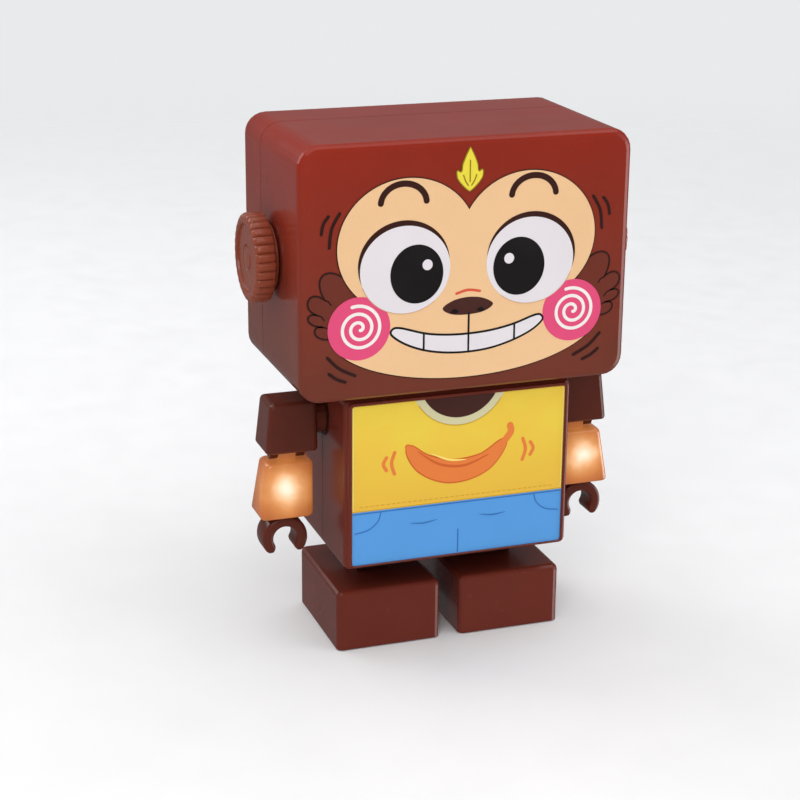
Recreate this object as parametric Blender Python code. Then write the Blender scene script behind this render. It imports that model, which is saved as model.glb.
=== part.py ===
"""Dancing monkey robot, a battery-driven desk toy with a block head.

Sizes are in millimetres. The toy stands on z = 0, faces -Y, and its middle is at x = 0.
Each piece is one closed solid, and place() turns it into an object in metres.
"""
import math

import bmesh
import bpy
from mathutils import Matrix, Vector

MM = 0.001

# Fits and small hardware
GAP = 0.3                 # clearance between pieces that touch or turn
WALL = 2.0                # torso and head shell wall
FOOT_WALL = 1.6
SCREW_RADIUS = 1.0
SCREW_HEAD_RADIUS = 2.1
SCREW_HEAD_HEIGHT = 1.4
BOSS_WALL = 1.3
SCREW_SIDES = 10
TAB_STEPS = 8
SHAFT_SIDES = 16
BODY_SIDES = 26

# Feet
FOOT_WIDTH = 31.5
FOOT_DEPTH = 38.0
FOOT_HEIGHT = 18.0
FOOT_SPACING = 6.0        # space between the two feet
FOOT_SHIFT = 1.0          # centre of the feet, behind the centre of the toy
FOOT_EDGE = 1.6
COVER_THICKNESS = 2.4
PEG_RADIUS = 3.0
PEG_BOTTOM = 6.0
FOOT_SCREW_LENGTH = 11.0

# Leg frame and hip
LEG_WIDTH = 12.0
LEG_DEPTH = 10.0
LEG_SPACE = 9.0           # height of the space between feet and torso
HIP_PLATE_LOW = 2.5       # above the feet
HIP_PLATE_THICKNESS = 3.0
HIP_PLATE_DEPTH = 14.0
HIP_RISE = 4.0            # hip axis above the torso's bottom face
HIP_PIN_RADIUS = 1.5
HIP_EYE_RADIUS = 4.4
HIP_LUG_THICKNESS = 3.4
HIP_LUG_RADIUS = 4.0
POST_WIDTH = 6.0
POST_THICKNESS = 3.0
SWAY_DEG = 6.0

# Torso
TORSO_WIDTH = 68.0
TORSO_HEIGHT = 51.0
TORSO_FRONT = -23.2
TORSO_REAR = 20.0
TORSO_EDGE = 1.8
TORSO_SEAM = -2.0
LABEL_THICKNESS = 0.5
LABEL_BORDER = 2.0
LABEL_BOTTOM_BORDER = 1.4
WELL_X = 28.2             # screw wells, from the middle
WELL_RISE = 6.0           # above the torso's bottom face
WELL_FLOOR = 3.0          # where the well ends, along Y

# Head
HEAD_WIDTH = 96.0
HEAD_HEIGHT = 71.0
HEAD_FRONT = -27.2
HEAD_REAR = 28.0
HEAD_CORNER = 6.0
HEAD_EDGE = 1.8
HEAD_SEAM = 10.0
NECK_SPACE = 1.0          # between torso and head
NECK_Y = -8.0
NECK_RADIUS = 4.5
NECK_BORE = 2.8
NECK_FLANGE_RADIUS = 9.0
NECK_FLANGE_HEIGHT = 2.0
LEVER_THICKNESS = 2.2
LEVER_DROP = 1.6          # lever below the torso's inner roof
LEVER_REACH = 11.5        # neck axis to drive pin
LEVER_PIN_RADIUS = 1.0
LEVER_SLOT_LENGTH = 4.0
HEAD_WELL_X = 38.0
HEAD_WELL_Z = 25.5        # above and below the head's middle
HEAD_WELL_FLOOR = 14.0
SPEAKER_RADIUS = 14.0
SPEAKER_DEPTH = 5.0
GRILLE_SLOTS = 5
GRILLE_PITCH = 4.0
GRILLE_WIDTH = 1.6
GROOVE_SPACE = 5.5         # round groove outside the grille's longest slot
GROOVE_WIDTH = 0.7
GROOVE_DEPTH = 0.5
GROOVE_SIDES = 60

# Face sheet, measured from the middle of the head's front
LOBE_X = 17.5
LOBE_Z = 7.0
LOBE_WIDTH = 40.0
LOBE_HEIGHT = 37.4
JAW_Z = -14.0
JAW_WIDTH = 80.0
JAW_HEIGHT = 35.0
FACE_POINTS = 96

# Ear knobs
KNOB_RADIUS = 12.5
KNOB_THICKNESS = 5.9
KNOB_FLUTES = 30
KNOB_FLUTE_DEPTH = 0.6
KNOB_EDGE = 0.8
KNOB_COLLAR_RADIUS = 9.5
KNOB_COLLAR = 1.3
KNOB_SHAFT_RADIUS = 3.0
KNOB_SHAFT_GROOVE = 0.8
CLIP_THICKNESS = 1.2

# Arms, for the side at +X
SHOULDER_DROP = 10.5      # shoulder axis below the torso's top
SHOULDER_RADIUS = 5.3
SHOULDER_SHAFT_RADIUS = 2.5
ARM_TOP_INNER = 37.3
ARM_TOP_OUTER = 51.0
ARM_LOW_INNER = 37.1
ARM_LOW_OUTER = 52.6
ARM_TOP_RISE = 6.0        # block top above the shoulder axis
ARM_HEIGHT = 14.9
ARM_TOP_DEPTH = 12.0
ARM_LOW_DEPTH = 13.4
ARM_EDGE = 1.3
ELBOW_X = 45.0
ELBOW_DROP = 1.2          # elbow axis below the block
ELBOW_PIN_RADIUS = 0.6
EAR_RADIUS = 1.9
EAR_THICKNESS = 2.3
TONGUE_THICKNESS = 5.0
TONGUE_RADIUS = 1.6
LENS_TOP_DROP = 2.1       # lens top below the elbow axis
LENS_TOP_INNER = 38.0
LENS_TOP_OUTER = 51.9
LENS_LOW_INNER = 38.5
LENS_LOW_OUTER = 54.2
LENS_HEIGHT = 16.6
LENS_TOP_DEPTH = 9.0
LENS_LOW_DEPTH = 12.6
LENS_EDGE = 1.2
LENS_WALL = 1.3
WRIST_X = 46.4
WRIST_PLATE = 2.2
WRIST_PEG_RADIUS = 1.5
CLAW_RADIUS = 6.75
CLAW_INNER_RADIUS = 3.5
CLAW_DEPTH = 8.0
CLAW_OPENING_DEG = 42.0   # each side of straight down
CLAW_COLLAR_RADIUS = 3.6
CLAW_COLLAR = 0.8

# Gears: two stages of the same pair
MODULE = 0.55
WHEEL_TEETH = 36
PINION_TEETH = 9
WHEEL_THICKNESS = 2.0
PINION_THICKNESS = 2.6
CRANK_RISE = 20.5         # crank axis above the hip axis
CRANK_Y = -7.4            # front face of the crank wheel
CRANK_DISC_RADIUS = 3.7
CRANK_DISC = 2.4
CRANK_PIN_RADIUS = 1.0
CRANK_WINDOW_RADIUS = 6.5
CRANK_EYE_WALL = 2.0
IDLER_ANGLE_DEG = 220.0   # from the crank axis, seen from behind
MOTOR_ANGLE_DEG = 165.0   # from the idler axis
AXLE_RADIUS = 1.2
MOTOR_WIDTH = 12.0
MOTOR_HEIGHT = 10.0
MOTOR_LENGTH = 12.0
MOTOR_SHAFT_RADIUS = 0.75
PLATE_THICKNESS = 1.5
PILLAR_RADIUS = 2.6

# Batteries and electronics
CELL_COUNT = 3
CELL_RADIUS = 5.25
CELL_LENGTH = 44.5
CELL_SPACE = 0.5           # between neighbouring cells
CELL_PITCH = 2 * CELL_RADIUS + CELL_SPACE
TRAY_WALL = 1.2
TRAY_RISE = 9.9           # first cell's underside above the torso's bottom face
CONTACT_THICKNESS = 0.6
DOOR_THICKNESS = 1.7
DOOR_TAB_WIDTH = 12.0
DOOR_TAB_HEIGHT = 6.0
SWITCH_X = 17.0
SWITCH_TRAVEL = 3.0
SWITCH_KNOB_WIDTH = 4.0
SWITCH_KNOB_HEIGHT = 2.4
SWITCH_HEIGHT = 5.0
SWITCH_WIDTH = 11.0
SWITCH_DEPTH = 6.0
BOARD_WIDTH = 16.0
BOARD_HEIGHT = 26.0
BOARD_THICKNESS = 1.4

# Levels and places worked out from the sizes above
TORSO_BOTTOM = FOOT_HEIGHT + LEG_SPACE
TORSO_TOP = TORSO_BOTTOM + TORSO_HEIGHT
HEAD_BOTTOM = TORSO_TOP + NECK_SPACE
HEAD_TOP = HEAD_BOTTOM + HEAD_HEIGHT
HEAD_MIDDLE = (HEAD_BOTTOM + HEAD_TOP) / 2
HIP_Z = TORSO_BOTTOM + HIP_RISE
CRANK_Z = HIP_Z + CRANK_RISE
SHOULDER_Z = TORSO_TOP - SHOULDER_DROP
ARM_TOP = SHOULDER_Z + ARM_TOP_RISE
ARM_BOTTOM = ARM_TOP - ARM_HEIGHT
ELBOW_Z = ARM_BOTTOM - ELBOW_DROP
LENS_TOP = ELBOW_Z - LENS_TOP_DROP
LENS_BOTTOM = LENS_TOP - LENS_HEIGHT
CRANK_THROW = CRANK_RISE * math.sin(math.radians(SWAY_DEG))
SCREW_HOLE = SCREW_RADIUS + GAP
BOSS_RADIUS = SCREW_HOLE + BOSS_WALL
WELL_RADIUS = SCREW_HEAD_RADIUS + GAP
LEVER_TOP = TORSO_TOP - WALL - LEVER_DROP
LEVER_BOTTOM = LEVER_TOP - LEVER_THICKNESS
LEVER_PIN_Y = NECK_Y + LEVER_REACH
GEAR_DISTANCE = MODULE * (WHEEL_TEETH + PINION_TEETH) / 2
TRAY_FLOOR = TORSO_BOTTOM + TRAY_RISE
TRAY_ROOF = TRAY_FLOOR + CELL_PITCH * (CELL_COUNT - 1) + 2 * CELL_RADIUS + 2 * GAP
TRAY_HALF = CELL_LENGTH / 2 + 2 * GAP + CONTACT_THICKNESS
CELL_Y = TORSO_REAR - WALL - 2 * GAP - CELL_RADIUS
TRAY_FRONT = CELL_Y - CELL_RADIUS - GAP - TRAY_WALL


# Mesh building -------------------------------------------------------------------

def faces_out(mesh):
    bmesh.ops.recalc_face_normals(mesh, faces=mesh.faces)
    return mesh


def tapered(low, high, low_z, high_z):
    """A block whose lower and upper rectangles are (x0, x1, y0, y1)."""
    mesh = bmesh.new()
    rings = []
    for (x0, x1, y0, y1), z in ((low, low_z), (high, high_z)):
        corners = ((x0, y0), (x1, y0), (x1, y1), (x0, y1))
        rings.append([mesh.verts.new((x, y, z)) for x, y in corners])
    for side in range(4):
        after = (side + 1) % 4
        mesh.faces.new((rings[0][side], rings[0][after], rings[1][after], rings[1][side]))
    mesh.faces.new(rings[0][::-1])
    mesh.faces.new(rings[1])
    return faces_out(mesh)


def block(x0, x1, y0, y1, z0, z1):
    rectangle = (min(x0, x1), max(x0, x1), y0, y1)
    return tapered(rectangle, rectangle, z0, z1)


def round_edges(mesh, radius, chosen, segments=3):
    """Round the edges whose two ends pass the chosen test."""
    edges = [edge for edge in mesh.edges if chosen(edge.verts[0].co, edge.verts[1].co)]
    bmesh.ops.bevel(mesh, geom=edges, offset=radius, segments=segments, profile=0.5,
                    affect="EDGES", clamp_overlap=True)
    return faces_out(mesh)


def every_edge(first, second):
    return True


def turn_to(axis):
    """The rotation that takes +Z to the named axis."""
    if axis == "X":
        return Matrix.Rotation(math.radians(90), 4, "Y")
    if axis == "Y":
        return Matrix.Rotation(math.radians(-90), 4, "X")
    return Matrix.Identity(4)


def turned(profile, centre, axis="Z", sides=SHAFT_SIDES):
    """A turned piece. The profile is (radius, height) pairs, capped at both ends."""
    mesh = bmesh.new()
    rings = []
    for radius, height in profile:
        ring = []
        for step in range(sides):
            angle = 2 * math.pi * step / sides
            ring.append(mesh.verts.new((radius * math.cos(angle), radius * math.sin(angle), height)))
        rings.append(ring)
    for low, high in zip(rings, rings[1:]):
        for step in range(sides):
            after = (step + 1) % sides
            mesh.faces.new((low[step], low[after], high[after], high[step]))
    mesh.faces.new(rings[0][::-1])
    mesh.faces.new(rings[-1])
    mesh.transform(Matrix.Translation(centre) @ turn_to(axis))
    return faces_out(mesh)


def cylinder(radius, centre, axis, low, high, sides=SHAFT_SIDES):
    """A round bar along an axis, from low to high on that axis' own coordinate."""
    place_at = list(centre)
    place_at["XYZ".index(axis)] = 0.0
    return turned(((radius, low), (radius, high)), place_at, axis, sides)


def prism(outline, axis, low, high):
    """An outline pushed along an axis. Points are (x, z) for Y, (x, y) for Z, (y, z) for X."""
    order = {"X": lambda u, v, w: (w, u, v), "Y": lambda u, v, w: (u, w, v),
             "Z": lambda u, v, w: (u, v, w)}[axis]
    mesh = bmesh.new()
    rings = [[mesh.verts.new(order(u, v, w)) for u, v in outline] for w in (low, high)]
    count = len(outline)
    for step in range(count):
        after = (step + 1) % count
        mesh.faces.new((rings[0][step], rings[0][after], rings[1][after], rings[1][step]))
    mesh.faces.new(rings[0][::-1])
    mesh.faces.new(rings[1])
    return faces_out(mesh)


def tab(middle, axis_level, foot_level, radius, axis, low, high):
    """A flat tab with one round end, on its foot. Its thickness runs along the axis."""
    way = 1.0 if axis_level > foot_level else -1.0
    outline = [(middle - radius, foot_level), (middle + radius, foot_level)]
    for step in range(TAB_STEPS + 1):
        angle = math.pi * step / TAB_STEPS
        outline.append((middle + radius * math.cos(angle), axis_level + way * radius * math.sin(angle)))
    return prism(outline, axis, low, high)


def combine(first, second, operation):
    """Join, cut or keep the overlap of two closed meshes, and use them both up."""
    objects = []
    for mesh in (first, second):
        data = bpy.data.meshes.new("working")
        bmesh.ops.triangulate(mesh, faces=[face for face in mesh.faces if len(face.verts) > 4])
        mesh.to_mesh(data)
        mesh.free()
        thing = bpy.data.objects.new("working", data)
        bpy.context.scene.collection.objects.link(thing)
        objects.append(thing)
    modifier = objects[0].modifiers.new("combine", "BOOLEAN")
    modifier.object = objects[1]
    modifier.operation = operation
    modifier.solver = "EXACT"
    graph = bpy.context.evaluated_depsgraph_get()
    result = bpy.data.meshes.new_from_object(objects[0].evaluated_get(graph))
    mesh = bmesh.new()
    mesh.from_mesh(result)
    for thing in objects:
        data = thing.data
        bpy.data.objects.remove(thing)
        bpy.data.meshes.remove(data)
    bpy.data.meshes.remove(result)
    bmesh.ops.remove_doubles(mesh, verts=mesh.verts, dist=0.0005)
    bmesh.ops.dissolve_limit(mesh, angle_limit=math.radians(0.05), verts=mesh.verts, edges=mesh.edges)
    return mesh


def cut(mesh, *tools):
    for tool in tools:
        mesh = combine(mesh, tool, "DIFFERENCE")
    return mesh


def join(mesh, *others):
    for other in others:
        mesh = combine(mesh, other, "UNION")
    return mesh


def keep_inside(mesh, other):
    return combine(mesh, other, "INTERSECT")


# Materials and objects -----------------------------------------------------------

def linear(value):
    value /= 255.0
    return value / 12.92 if value <= 0.04045 else ((value + 0.055) / 1.055) ** 2.4


def material(name, red, green, blue, roughness, metallic=0.0):
    made = bpy.data.materials.new(name)
    made.use_nodes = True
    shader = made.node_tree.nodes["Principled BSDF"]
    shader.inputs["Base Color"].default_value = (linear(red), linear(green), linear(blue), 1.0)
    shader.inputs["Roughness"].default_value = roughness
    shader.inputs["Metallic"].default_value = metallic
    return made


def make_materials():
    return {
        "brown": material("brown_gloss_plastic", 125, 50, 35, 0.25),
        "dark": material("dark_brown_plastic", 70, 36, 30, 0.35),
        "knob": material("knob_plastic", 150, 72, 52, 0.35),
        "skin": material("printed_face", 240, 195, 150, 0.35),
        "shirt": material("printed_shirt", 238, 210, 70, 0.4),
        "amber": material("amber_clear_plastic", 225, 140, 70, 0.15),
        "steel": material("zinc_plated_steel", 176, 178, 180, 0.35, 1.0),
        "black": material("black_plastic", 28, 28, 30, 0.45),
        "nylon": material("natural_nylon", 226, 222, 208, 0.4),
        "board": material("green_board", 30, 96, 58, 0.4),
        "cell": material("cell_sleeve", 60, 66, 78, 0.3),
    }


def place(name, mesh, paint, pivot=None):
    """Make the object that is one node, measured from its pivot when it has one."""
    origin = pivot.location.copy() if pivot else Vector((0.0, 0.0, 0.0))
    mesh.transform(Matrix.Scale(MM, 4))
    mesh.transform(Matrix.Translation(-origin))
    faces_out(mesh)
    data = bpy.data.meshes.new(name)
    mesh.to_mesh(data)
    mesh.free()
    data.materials.append(paint)
    data.shade_smooth()
    data.set_sharp_from_angle(angle=math.radians(32))
    thing = bpy.data.objects.new(name, data)
    bpy.context.scene.collection.objects.link(thing)
    thing.parent = pivot
    return thing


def pivot_at(name, x, y, z):
    """An empty on a joint's axis, which carries the pieces that move with it."""
    empty = bpy.data.objects.new(name, None)
    bpy.context.scene.collection.objects.link(empty)
    empty.location = Vector((x, y, z)) * MM
    return empty


# Shared hardware -----------------------------------------------------------------

def screw(centre, axis, seat, direction, length):
    """A pan-head screw. The head rests on the seat and the shank runs along direction."""
    back = seat - direction * SCREW_HEAD_HEIGHT
    levels = ((SCREW_HEAD_RADIUS * 0.7, back), (SCREW_HEAD_RADIUS, back + direction * 0.5),
              (SCREW_HEAD_RADIUS, seat), (SCREW_RADIUS, seat),
              (SCREW_RADIUS, seat + direction * (length - 1.0)),
              (SCREW_RADIUS * 0.5, seat + direction * length))
    place_at = list(centre)
    place_at["XYZ".index(axis)] = 0.0
    return turned(levels, place_at, axis, SCREW_SIDES)


def washer(inner, outer, centre, axis, low, high):
    return cut(cylinder(outer, centre, axis, low, high),
               cylinder(inner, centre, axis, low - 1.0, high + 1.0))


# Feet and legs -------------------------------------------------------------------

def foot_middle(side):
    return side * (FOOT_SPACING + FOOT_WIDTH) / 2


def foot_box(side, inset, low, high):
    middle = foot_middle(side)
    half = FOOT_WIDTH / 2 - inset
    deep = FOOT_DEPTH / 2 - inset
    return block(middle - half, middle + half, FOOT_SHIFT - deep, FOOT_SHIFT + deep, low, high)


def foot_shell(side):
    centre = (foot_middle(side), FOOT_SHIFT, 0.0)
    outer = round_edges(foot_box(side, 0.0, 0.0, FOOT_HEIGHT), FOOT_EDGE,
                        lambda a, b: max(a.z, b.z) > 0.1)
    shell = cut(outer, foot_box(side, FOOT_WALL, -1.0, FOOT_HEIGHT - FOOT_WALL))
    boss = cylinder(PEG_RADIUS + GAP + BOSS_WALL, centre, "Z", COVER_THICKNESS + GAP,
                    FOOT_HEIGHT - FOOT_WALL / 2)
    bore = cylinder(PEG_RADIUS + GAP, centre, "Z", 0.0, FOOT_HEIGHT + 1.0)
    return cut(join(shell, boss), bore)


def foot_cover(side):
    centre = (foot_middle(side), FOOT_SHIFT, 0.0)
    plate = foot_box(side, FOOT_WALL + GAP, 0.0, COVER_THICKNESS)
    recess = cylinder(WELL_RADIUS, centre, "Z", -1.0, SCREW_HEAD_HEIGHT + GAP)
    hole = cylinder(SCREW_HOLE, centre, "Z", 0.0, COVER_THICKNESS + 1.0)
    return cut(plate, recess, hole)


def leg_frame():
    """Pegs, legs, hip plate and the drive post that reaches up into the torso."""
    plate_low = FOOT_HEIGHT + HIP_PLATE_LOW
    plate_high = plate_low + HIP_PLATE_THICKNESS
    half = foot_middle(1) + LEG_WIDTH / 2
    frame = block(-half, half, FOOT_SHIFT - HIP_PLATE_DEPTH / 2, FOOT_SHIFT + HIP_PLATE_DEPTH / 2,
                  plate_low, plate_high)
    frame = round_edges(frame, 1.0, every_edge, 2)
    for side in (-1, 1):
        centre = (foot_middle(side), FOOT_SHIFT, 0.0)
        leg = block(centre[0] - LEG_WIDTH / 2 + 0.5, centre[0] + LEG_WIDTH / 2 - 0.5,
                    FOOT_SHIFT - LEG_DEPTH / 2, FOOT_SHIFT + LEG_DEPTH / 2,
                    FOOT_HEIGHT + GAP, plate_low + 1.5)
        peg = cylinder(PEG_RADIUS, centre, "Z", PEG_BOTTOM, plate_low + 1.0)
        bore = cylinder(SCREW_HOLE, centre, "Z", PEG_BOTTOM - 1.0, PEG_BOTTOM + FOOT_SCREW_LENGTH)
        frame = cut(join(frame, leg, peg), bore)
    return cut(join(frame, drive_post(plate_high - 1.0)),
               cylinder(HIP_PIN_RADIUS + GAP, (0.0, 0.0, HIP_Z), "Y", -9.0, 9.0),
               cylinder(CRANK_WINDOW_RADIUS, (0.0, 0.0, CRANK_Z), "Y", -9.0, 9.0, BODY_SIDES))


def drive_post(foot):
    half = POST_THICKNESS / 2
    top = LEVER_BOTTOM - 1.3
    post = block(-POST_WIDTH / 2, POST_WIDTH / 2, -half, half, foot, top)
    hip = cylinder(HIP_EYE_RADIUS, (0.0, 0.0, HIP_Z), "Y", -half + 0.1, half - 0.1)
    eye = cylinder(CRANK_WINDOW_RADIUS + CRANK_EYE_WALL, (0.0, 0.0, CRANK_Z), "Y",
                   -half + 0.2, half - 0.2, BODY_SIDES)
    ledge = block(-POST_WIDTH / 2 + 0.5, POST_WIDTH / 2 - 0.5, 0.0,
                  LEVER_PIN_Y + LEVER_PIN_RADIUS, top - 4.0, top - 0.2)
    pin = cylinder(LEVER_PIN_RADIUS, (0.0, LEVER_PIN_Y, 0.0), "Z", top - 2.0, LEVER_TOP + 0.6)
    return join(post, hip, eye, ledge, pin)


# Torso ---------------------------------------------------------------------------

def torso_box(inset):
    return block(-TORSO_WIDTH / 2 + inset, TORSO_WIDTH / 2 - inset, TORSO_FRONT + inset,
                 TORSO_REAR - inset, TORSO_BOTTOM + inset, TORSO_TOP - inset)


def torso_wells():
    return [(side * WELL_X, 0.0, TORSO_BOTTOM + WELL_RISE) for side in (-1, 1)]


def gear_screws():
    return [(PILLAR_X, 0.0, z) for z in (CRANK_Z - PILLAR_SPREAD, CRANK_Z + PILLAR_SPREAD)]


def torso_hollow():
    """The torso's walls, with every opening that crosses the seam."""
    shell = cut(round_edges(torso_box(0.0), TORSO_EDGE, every_edge), torso_box(WALL))
    sway = math.sin(math.radians(SWAY_DEG)) * HIP_RISE + 1.0
    slot = block(-HIP_EYE_RADIUS - sway, HIP_EYE_RADIUS + sway, -POST_THICKNESS / 2 - 1.0,
                 POST_THICKNESS / 2 + 1.0, TORSO_BOTTOM - 1.0, TORSO_BOTTOM + WALL + 1.0)
    shoulder = cylinder(SHOULDER_SHAFT_RADIUS + GAP, (0.0, TORSO_SEAM, SHOULDER_Z), "X",
                        -TORSO_WIDTH, TORSO_WIDTH)
    return cut(shell, slot, shoulder)


def hip_lug(low, high):
    """A rounded lug that rises from the torso floor and holds one end of the hip pin."""
    return tab(0.0, HIP_Z, TORSO_BOTTOM + WALL / 2, HIP_LUG_RADIUS, "Y", low, high)


def hip_pin_ends():
    reach = POST_THICKNESS / 2 + 2 * GAP + HIP_LUG_THICKNESS
    return -reach + 1.0, reach - 1.0


def torso_front_shell():
    shell = keep_inside(torso_hollow(), block(-TORSO_WIDTH, TORSO_WIDTH, -90.0,
                                              TORSO_SEAM - GAP / 2, 0.0, 200.0))
    inner = TORSO_FRONT + WALL / 2
    for centre in torso_wells():
        shell = join(shell, cylinder(BOSS_RADIUS, centre, "Y", inner, TORSO_SEAM - GAP / 2))
        shell = cut(shell, cylinder(SCREW_HOLE, centre, "Y", -17.0, 0.0))
    for centre in gear_screws():
        shell = join(shell, cylinder(BOSS_RADIUS, centre, "Y", inner, PLATE_FRONT_Y - GAP))
        shell = cut(shell, cylinder(SCREW_HOLE, centre, "Y", -19.0, 0.0))
    for z in (BOARD_LOW + 2.5, BOARD_LOW + BOARD_HEIGHT - 2.5):
        shell = join(shell, cylinder(1.8, (BOARD_X, 0.0, z), "Y", inner, BOARD_Y - GAP))
    front = -POST_THICKNESS / 2 - 2 * GAP
    shell = join(shell, hip_lug(front - HIP_LUG_THICKNESS, front))
    pin = cylinder(HIP_PIN_RADIUS + GAP, (0.0, 0.0, HIP_Z), "Y", hip_pin_ends()[0] - GAP, 0.0)
    neck = cylinder(NECK_RADIUS + GAP, (0.0, NECK_Y, 0.0), "Z", TORSO_TOP - 2 * WALL, TORSO_TOP + 1.0)
    return cut(shell, pin, neck)


def torso_rear_shell():
    shell = keep_inside(torso_hollow(), block(-TORSO_WIDTH, TORSO_WIDTH, TORSO_SEAM + GAP / 2,
                                              90.0, 0.0, 200.0))
    for centre in torso_wells():
        well = cylinder(WELL_RADIUS + BOSS_WALL, centre, "Y", TORSO_SEAM + GAP / 2, TORSO_REAR - WALL / 2)
        shell = cut(join(shell, well), cylinder(WELL_RADIUS, centre, "Y", WELL_FLOOR, TORSO_REAR + 1.0),
                    cylinder(SCREW_HOLE, centre, "Y", -9.0, WELL_FLOOR + 1.0))
    rear = POST_THICKNESS / 2 + 2 * GAP
    shell = join(shell, hip_lug(rear, rear + HIP_LUG_THICKNESS))
    pin = cylinder(HIP_PIN_RADIUS + GAP, (0.0, 0.0, HIP_Z), "Y", 0.0, hip_pin_ends()[1] + GAP)
    reach = (SWITCH_TRAVEL + SWITCH_KNOB_WIDTH) / 2 + GAP
    slot = block(SWITCH_X - reach, SWITCH_X + reach, TORSO_REAR - 2 * WALL, TORSO_REAR + 1.0,
                 SWITCH_Z - SWITCH_KNOB_HEIGHT / 2 - GAP, SWITCH_Z + SWITCH_KNOB_HEIGHT / 2 + GAP)
    return cut(shell, pin, slot, door_shape(0.0, TORSO_REAR - 2 * WALL, TORSO_REAR + 1.0))


def door_shape(inset, low, high):
    """The battery door's outline with its screw tab, pushed along Y."""
    half = TRAY_HALF - inset
    tab = DOOR_TAB_WIDTH / 2 - inset
    floor = TRAY_FLOOR + inset
    outline = ((-half, floor), (-tab, floor), (-tab, floor - DOOR_TAB_HEIGHT), (tab, floor - DOOR_TAB_HEIGHT),
               (tab, floor), (half, floor), (half, TRAY_ROOF - inset), (-half, TRAY_ROOF - inset))
    return prism(outline, "Y", low, high)


def front_label():
    half = TORSO_WIDTH / 2 - LABEL_BORDER
    low = TORSO_BOTTOM + LABEL_BOTTOM_BORDER
    rear = TORSO_FRONT - GAP
    sheet = block(-half, half, rear - LABEL_THICKNESS, rear, low, TORSO_TOP - TORSO_EDGE + 1.0)
    return round_edges(sheet, 0.8, lambda a, b: abs(a.y - b.y) > 0.1, 2)


def hip_pin():
    low, high = hip_pin_ends()
    return cylinder(HIP_PIN_RADIUS, (0.0, 0.0, HIP_Z), "Y", low, high)


# Battery bay and switch ----------------------------------------------------------

DOOR_SCREW_Z = TRAY_FLOOR - DOOR_TAB_HEIGHT / 2
SWITCH_Z = TORSO_BOTTOM + WALL + GAP + SWITCH_HEIGHT / 2


def cell_z(index):
    return TRAY_FLOOR + GAP + CELL_RADIUS + index * CELL_PITCH


def battery_tray():
    rear = TORSO_REAR - WALL - GAP
    tray = block(-TRAY_HALF - TRAY_WALL, TRAY_HALF + TRAY_WALL, TRAY_FRONT, rear,
                 TRAY_FLOOR - TRAY_WALL, TRAY_ROOF + TRAY_WALL)
    tray = cut(tray, block(-TRAY_HALF, TRAY_HALF, TRAY_FRONT + TRAY_WALL, rear + 1.0, TRAY_FLOOR, TRAY_ROOF))
    boss = block(-BOSS_RADIUS, BOSS_RADIUS, TRAY_FRONT + 2.5, rear, DOOR_SCREW_Z - SCREW_HOLE - 1.0,
                 TRAY_FLOOR - TRAY_WALL / 2)
    return cut(join(tray, boss), cylinder(SCREW_HOLE, (0.0, 0.0, DOOR_SCREW_Z), "Y", rear - 7.5, rear + 1.0))


def battery_cell(index):
    half = CELL_LENGTH / 2
    end = half if index % 2 else -half
    inward = -1 if index % 2 else 1
    levels = ((2.6, end), (2.6, end + inward * 1.0), (CELL_RADIUS, end + inward * 1.2),
              (CELL_RADIUS, -end))
    return turned(levels, (0.0, CELL_Y, cell_z(index)), "X", SHAFT_SIDES)


def battery_contacts(side):
    inner = CELL_LENGTH / 2 + GAP
    return block(side * inner, side * (inner + CONTACT_THICKNESS), CELL_Y - CELL_RADIUS + 1.0,
                 CELL_Y + CELL_RADIUS - 1.0, TRAY_FLOOR + GAP, TRAY_ROOF - GAP)


def battery_door():
    door = door_shape(GAP, TORSO_REAR - DOOR_THICKNESS, TORSO_REAR)
    centre = (0.0, 0.0, DOOR_SCREW_Z)
    return cut(door, cylinder(WELL_RADIUS, centre, "Y", TORSO_REAR - 0.9, TORSO_REAR + 1.0),
               cylinder(SCREW_HOLE, centre, "Y", TORSO_REAR - 3.0, TORSO_REAR))


def switch_housing():
    front = TORSO_REAR - WALL - GAP - SWITCH_DEPTH
    rear = TORSO_REAR - WALL - GAP
    body = block(SWITCH_X - SWITCH_WIDTH / 2, SWITCH_X + SWITCH_WIDTH / 2, front, rear,
                 SWITCH_Z - SWITCH_HEIGHT / 2, SWITCH_Z + SWITCH_HEIGHT / 2)
    reach = (SWITCH_TRAVEL + SWITCH_KNOB_WIDTH) / 2 + GAP
    half = SWITCH_KNOB_HEIGHT / 2 + GAP
    return cut(body, block(SWITCH_X - reach, SWITCH_X + reach, front + 2.0, rear + 1.0,
                           SWITCH_Z - half, SWITCH_Z + half))


def switch_slider():
    """The slider rests in the off place, at the low-X end of its slot."""
    middle = SWITCH_X - SWITCH_TRAVEL / 2
    front = TORSO_REAR - WALL - SWITCH_DEPTH + 2.0 + GAP
    knob = block(middle - SWITCH_KNOB_WIDTH / 2, middle + SWITCH_KNOB_WIDTH / 2, front, TORSO_REAR + 1.2,
                 SWITCH_Z - SWITCH_KNOB_HEIGHT / 2, SWITCH_Z + SWITCH_KNOB_HEIGHT / 2)
    return round_edges(knob, 0.4, lambda a, b: min(a.y, b.y) > TORSO_REAR, 2)


# Drive ---------------------------------------------------------------------------

def beside(centre, angle_deg, distance):
    angle = math.radians(angle_deg)
    return (centre[0] + distance * math.cos(angle), centre[1] + distance * math.sin(angle))


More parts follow.
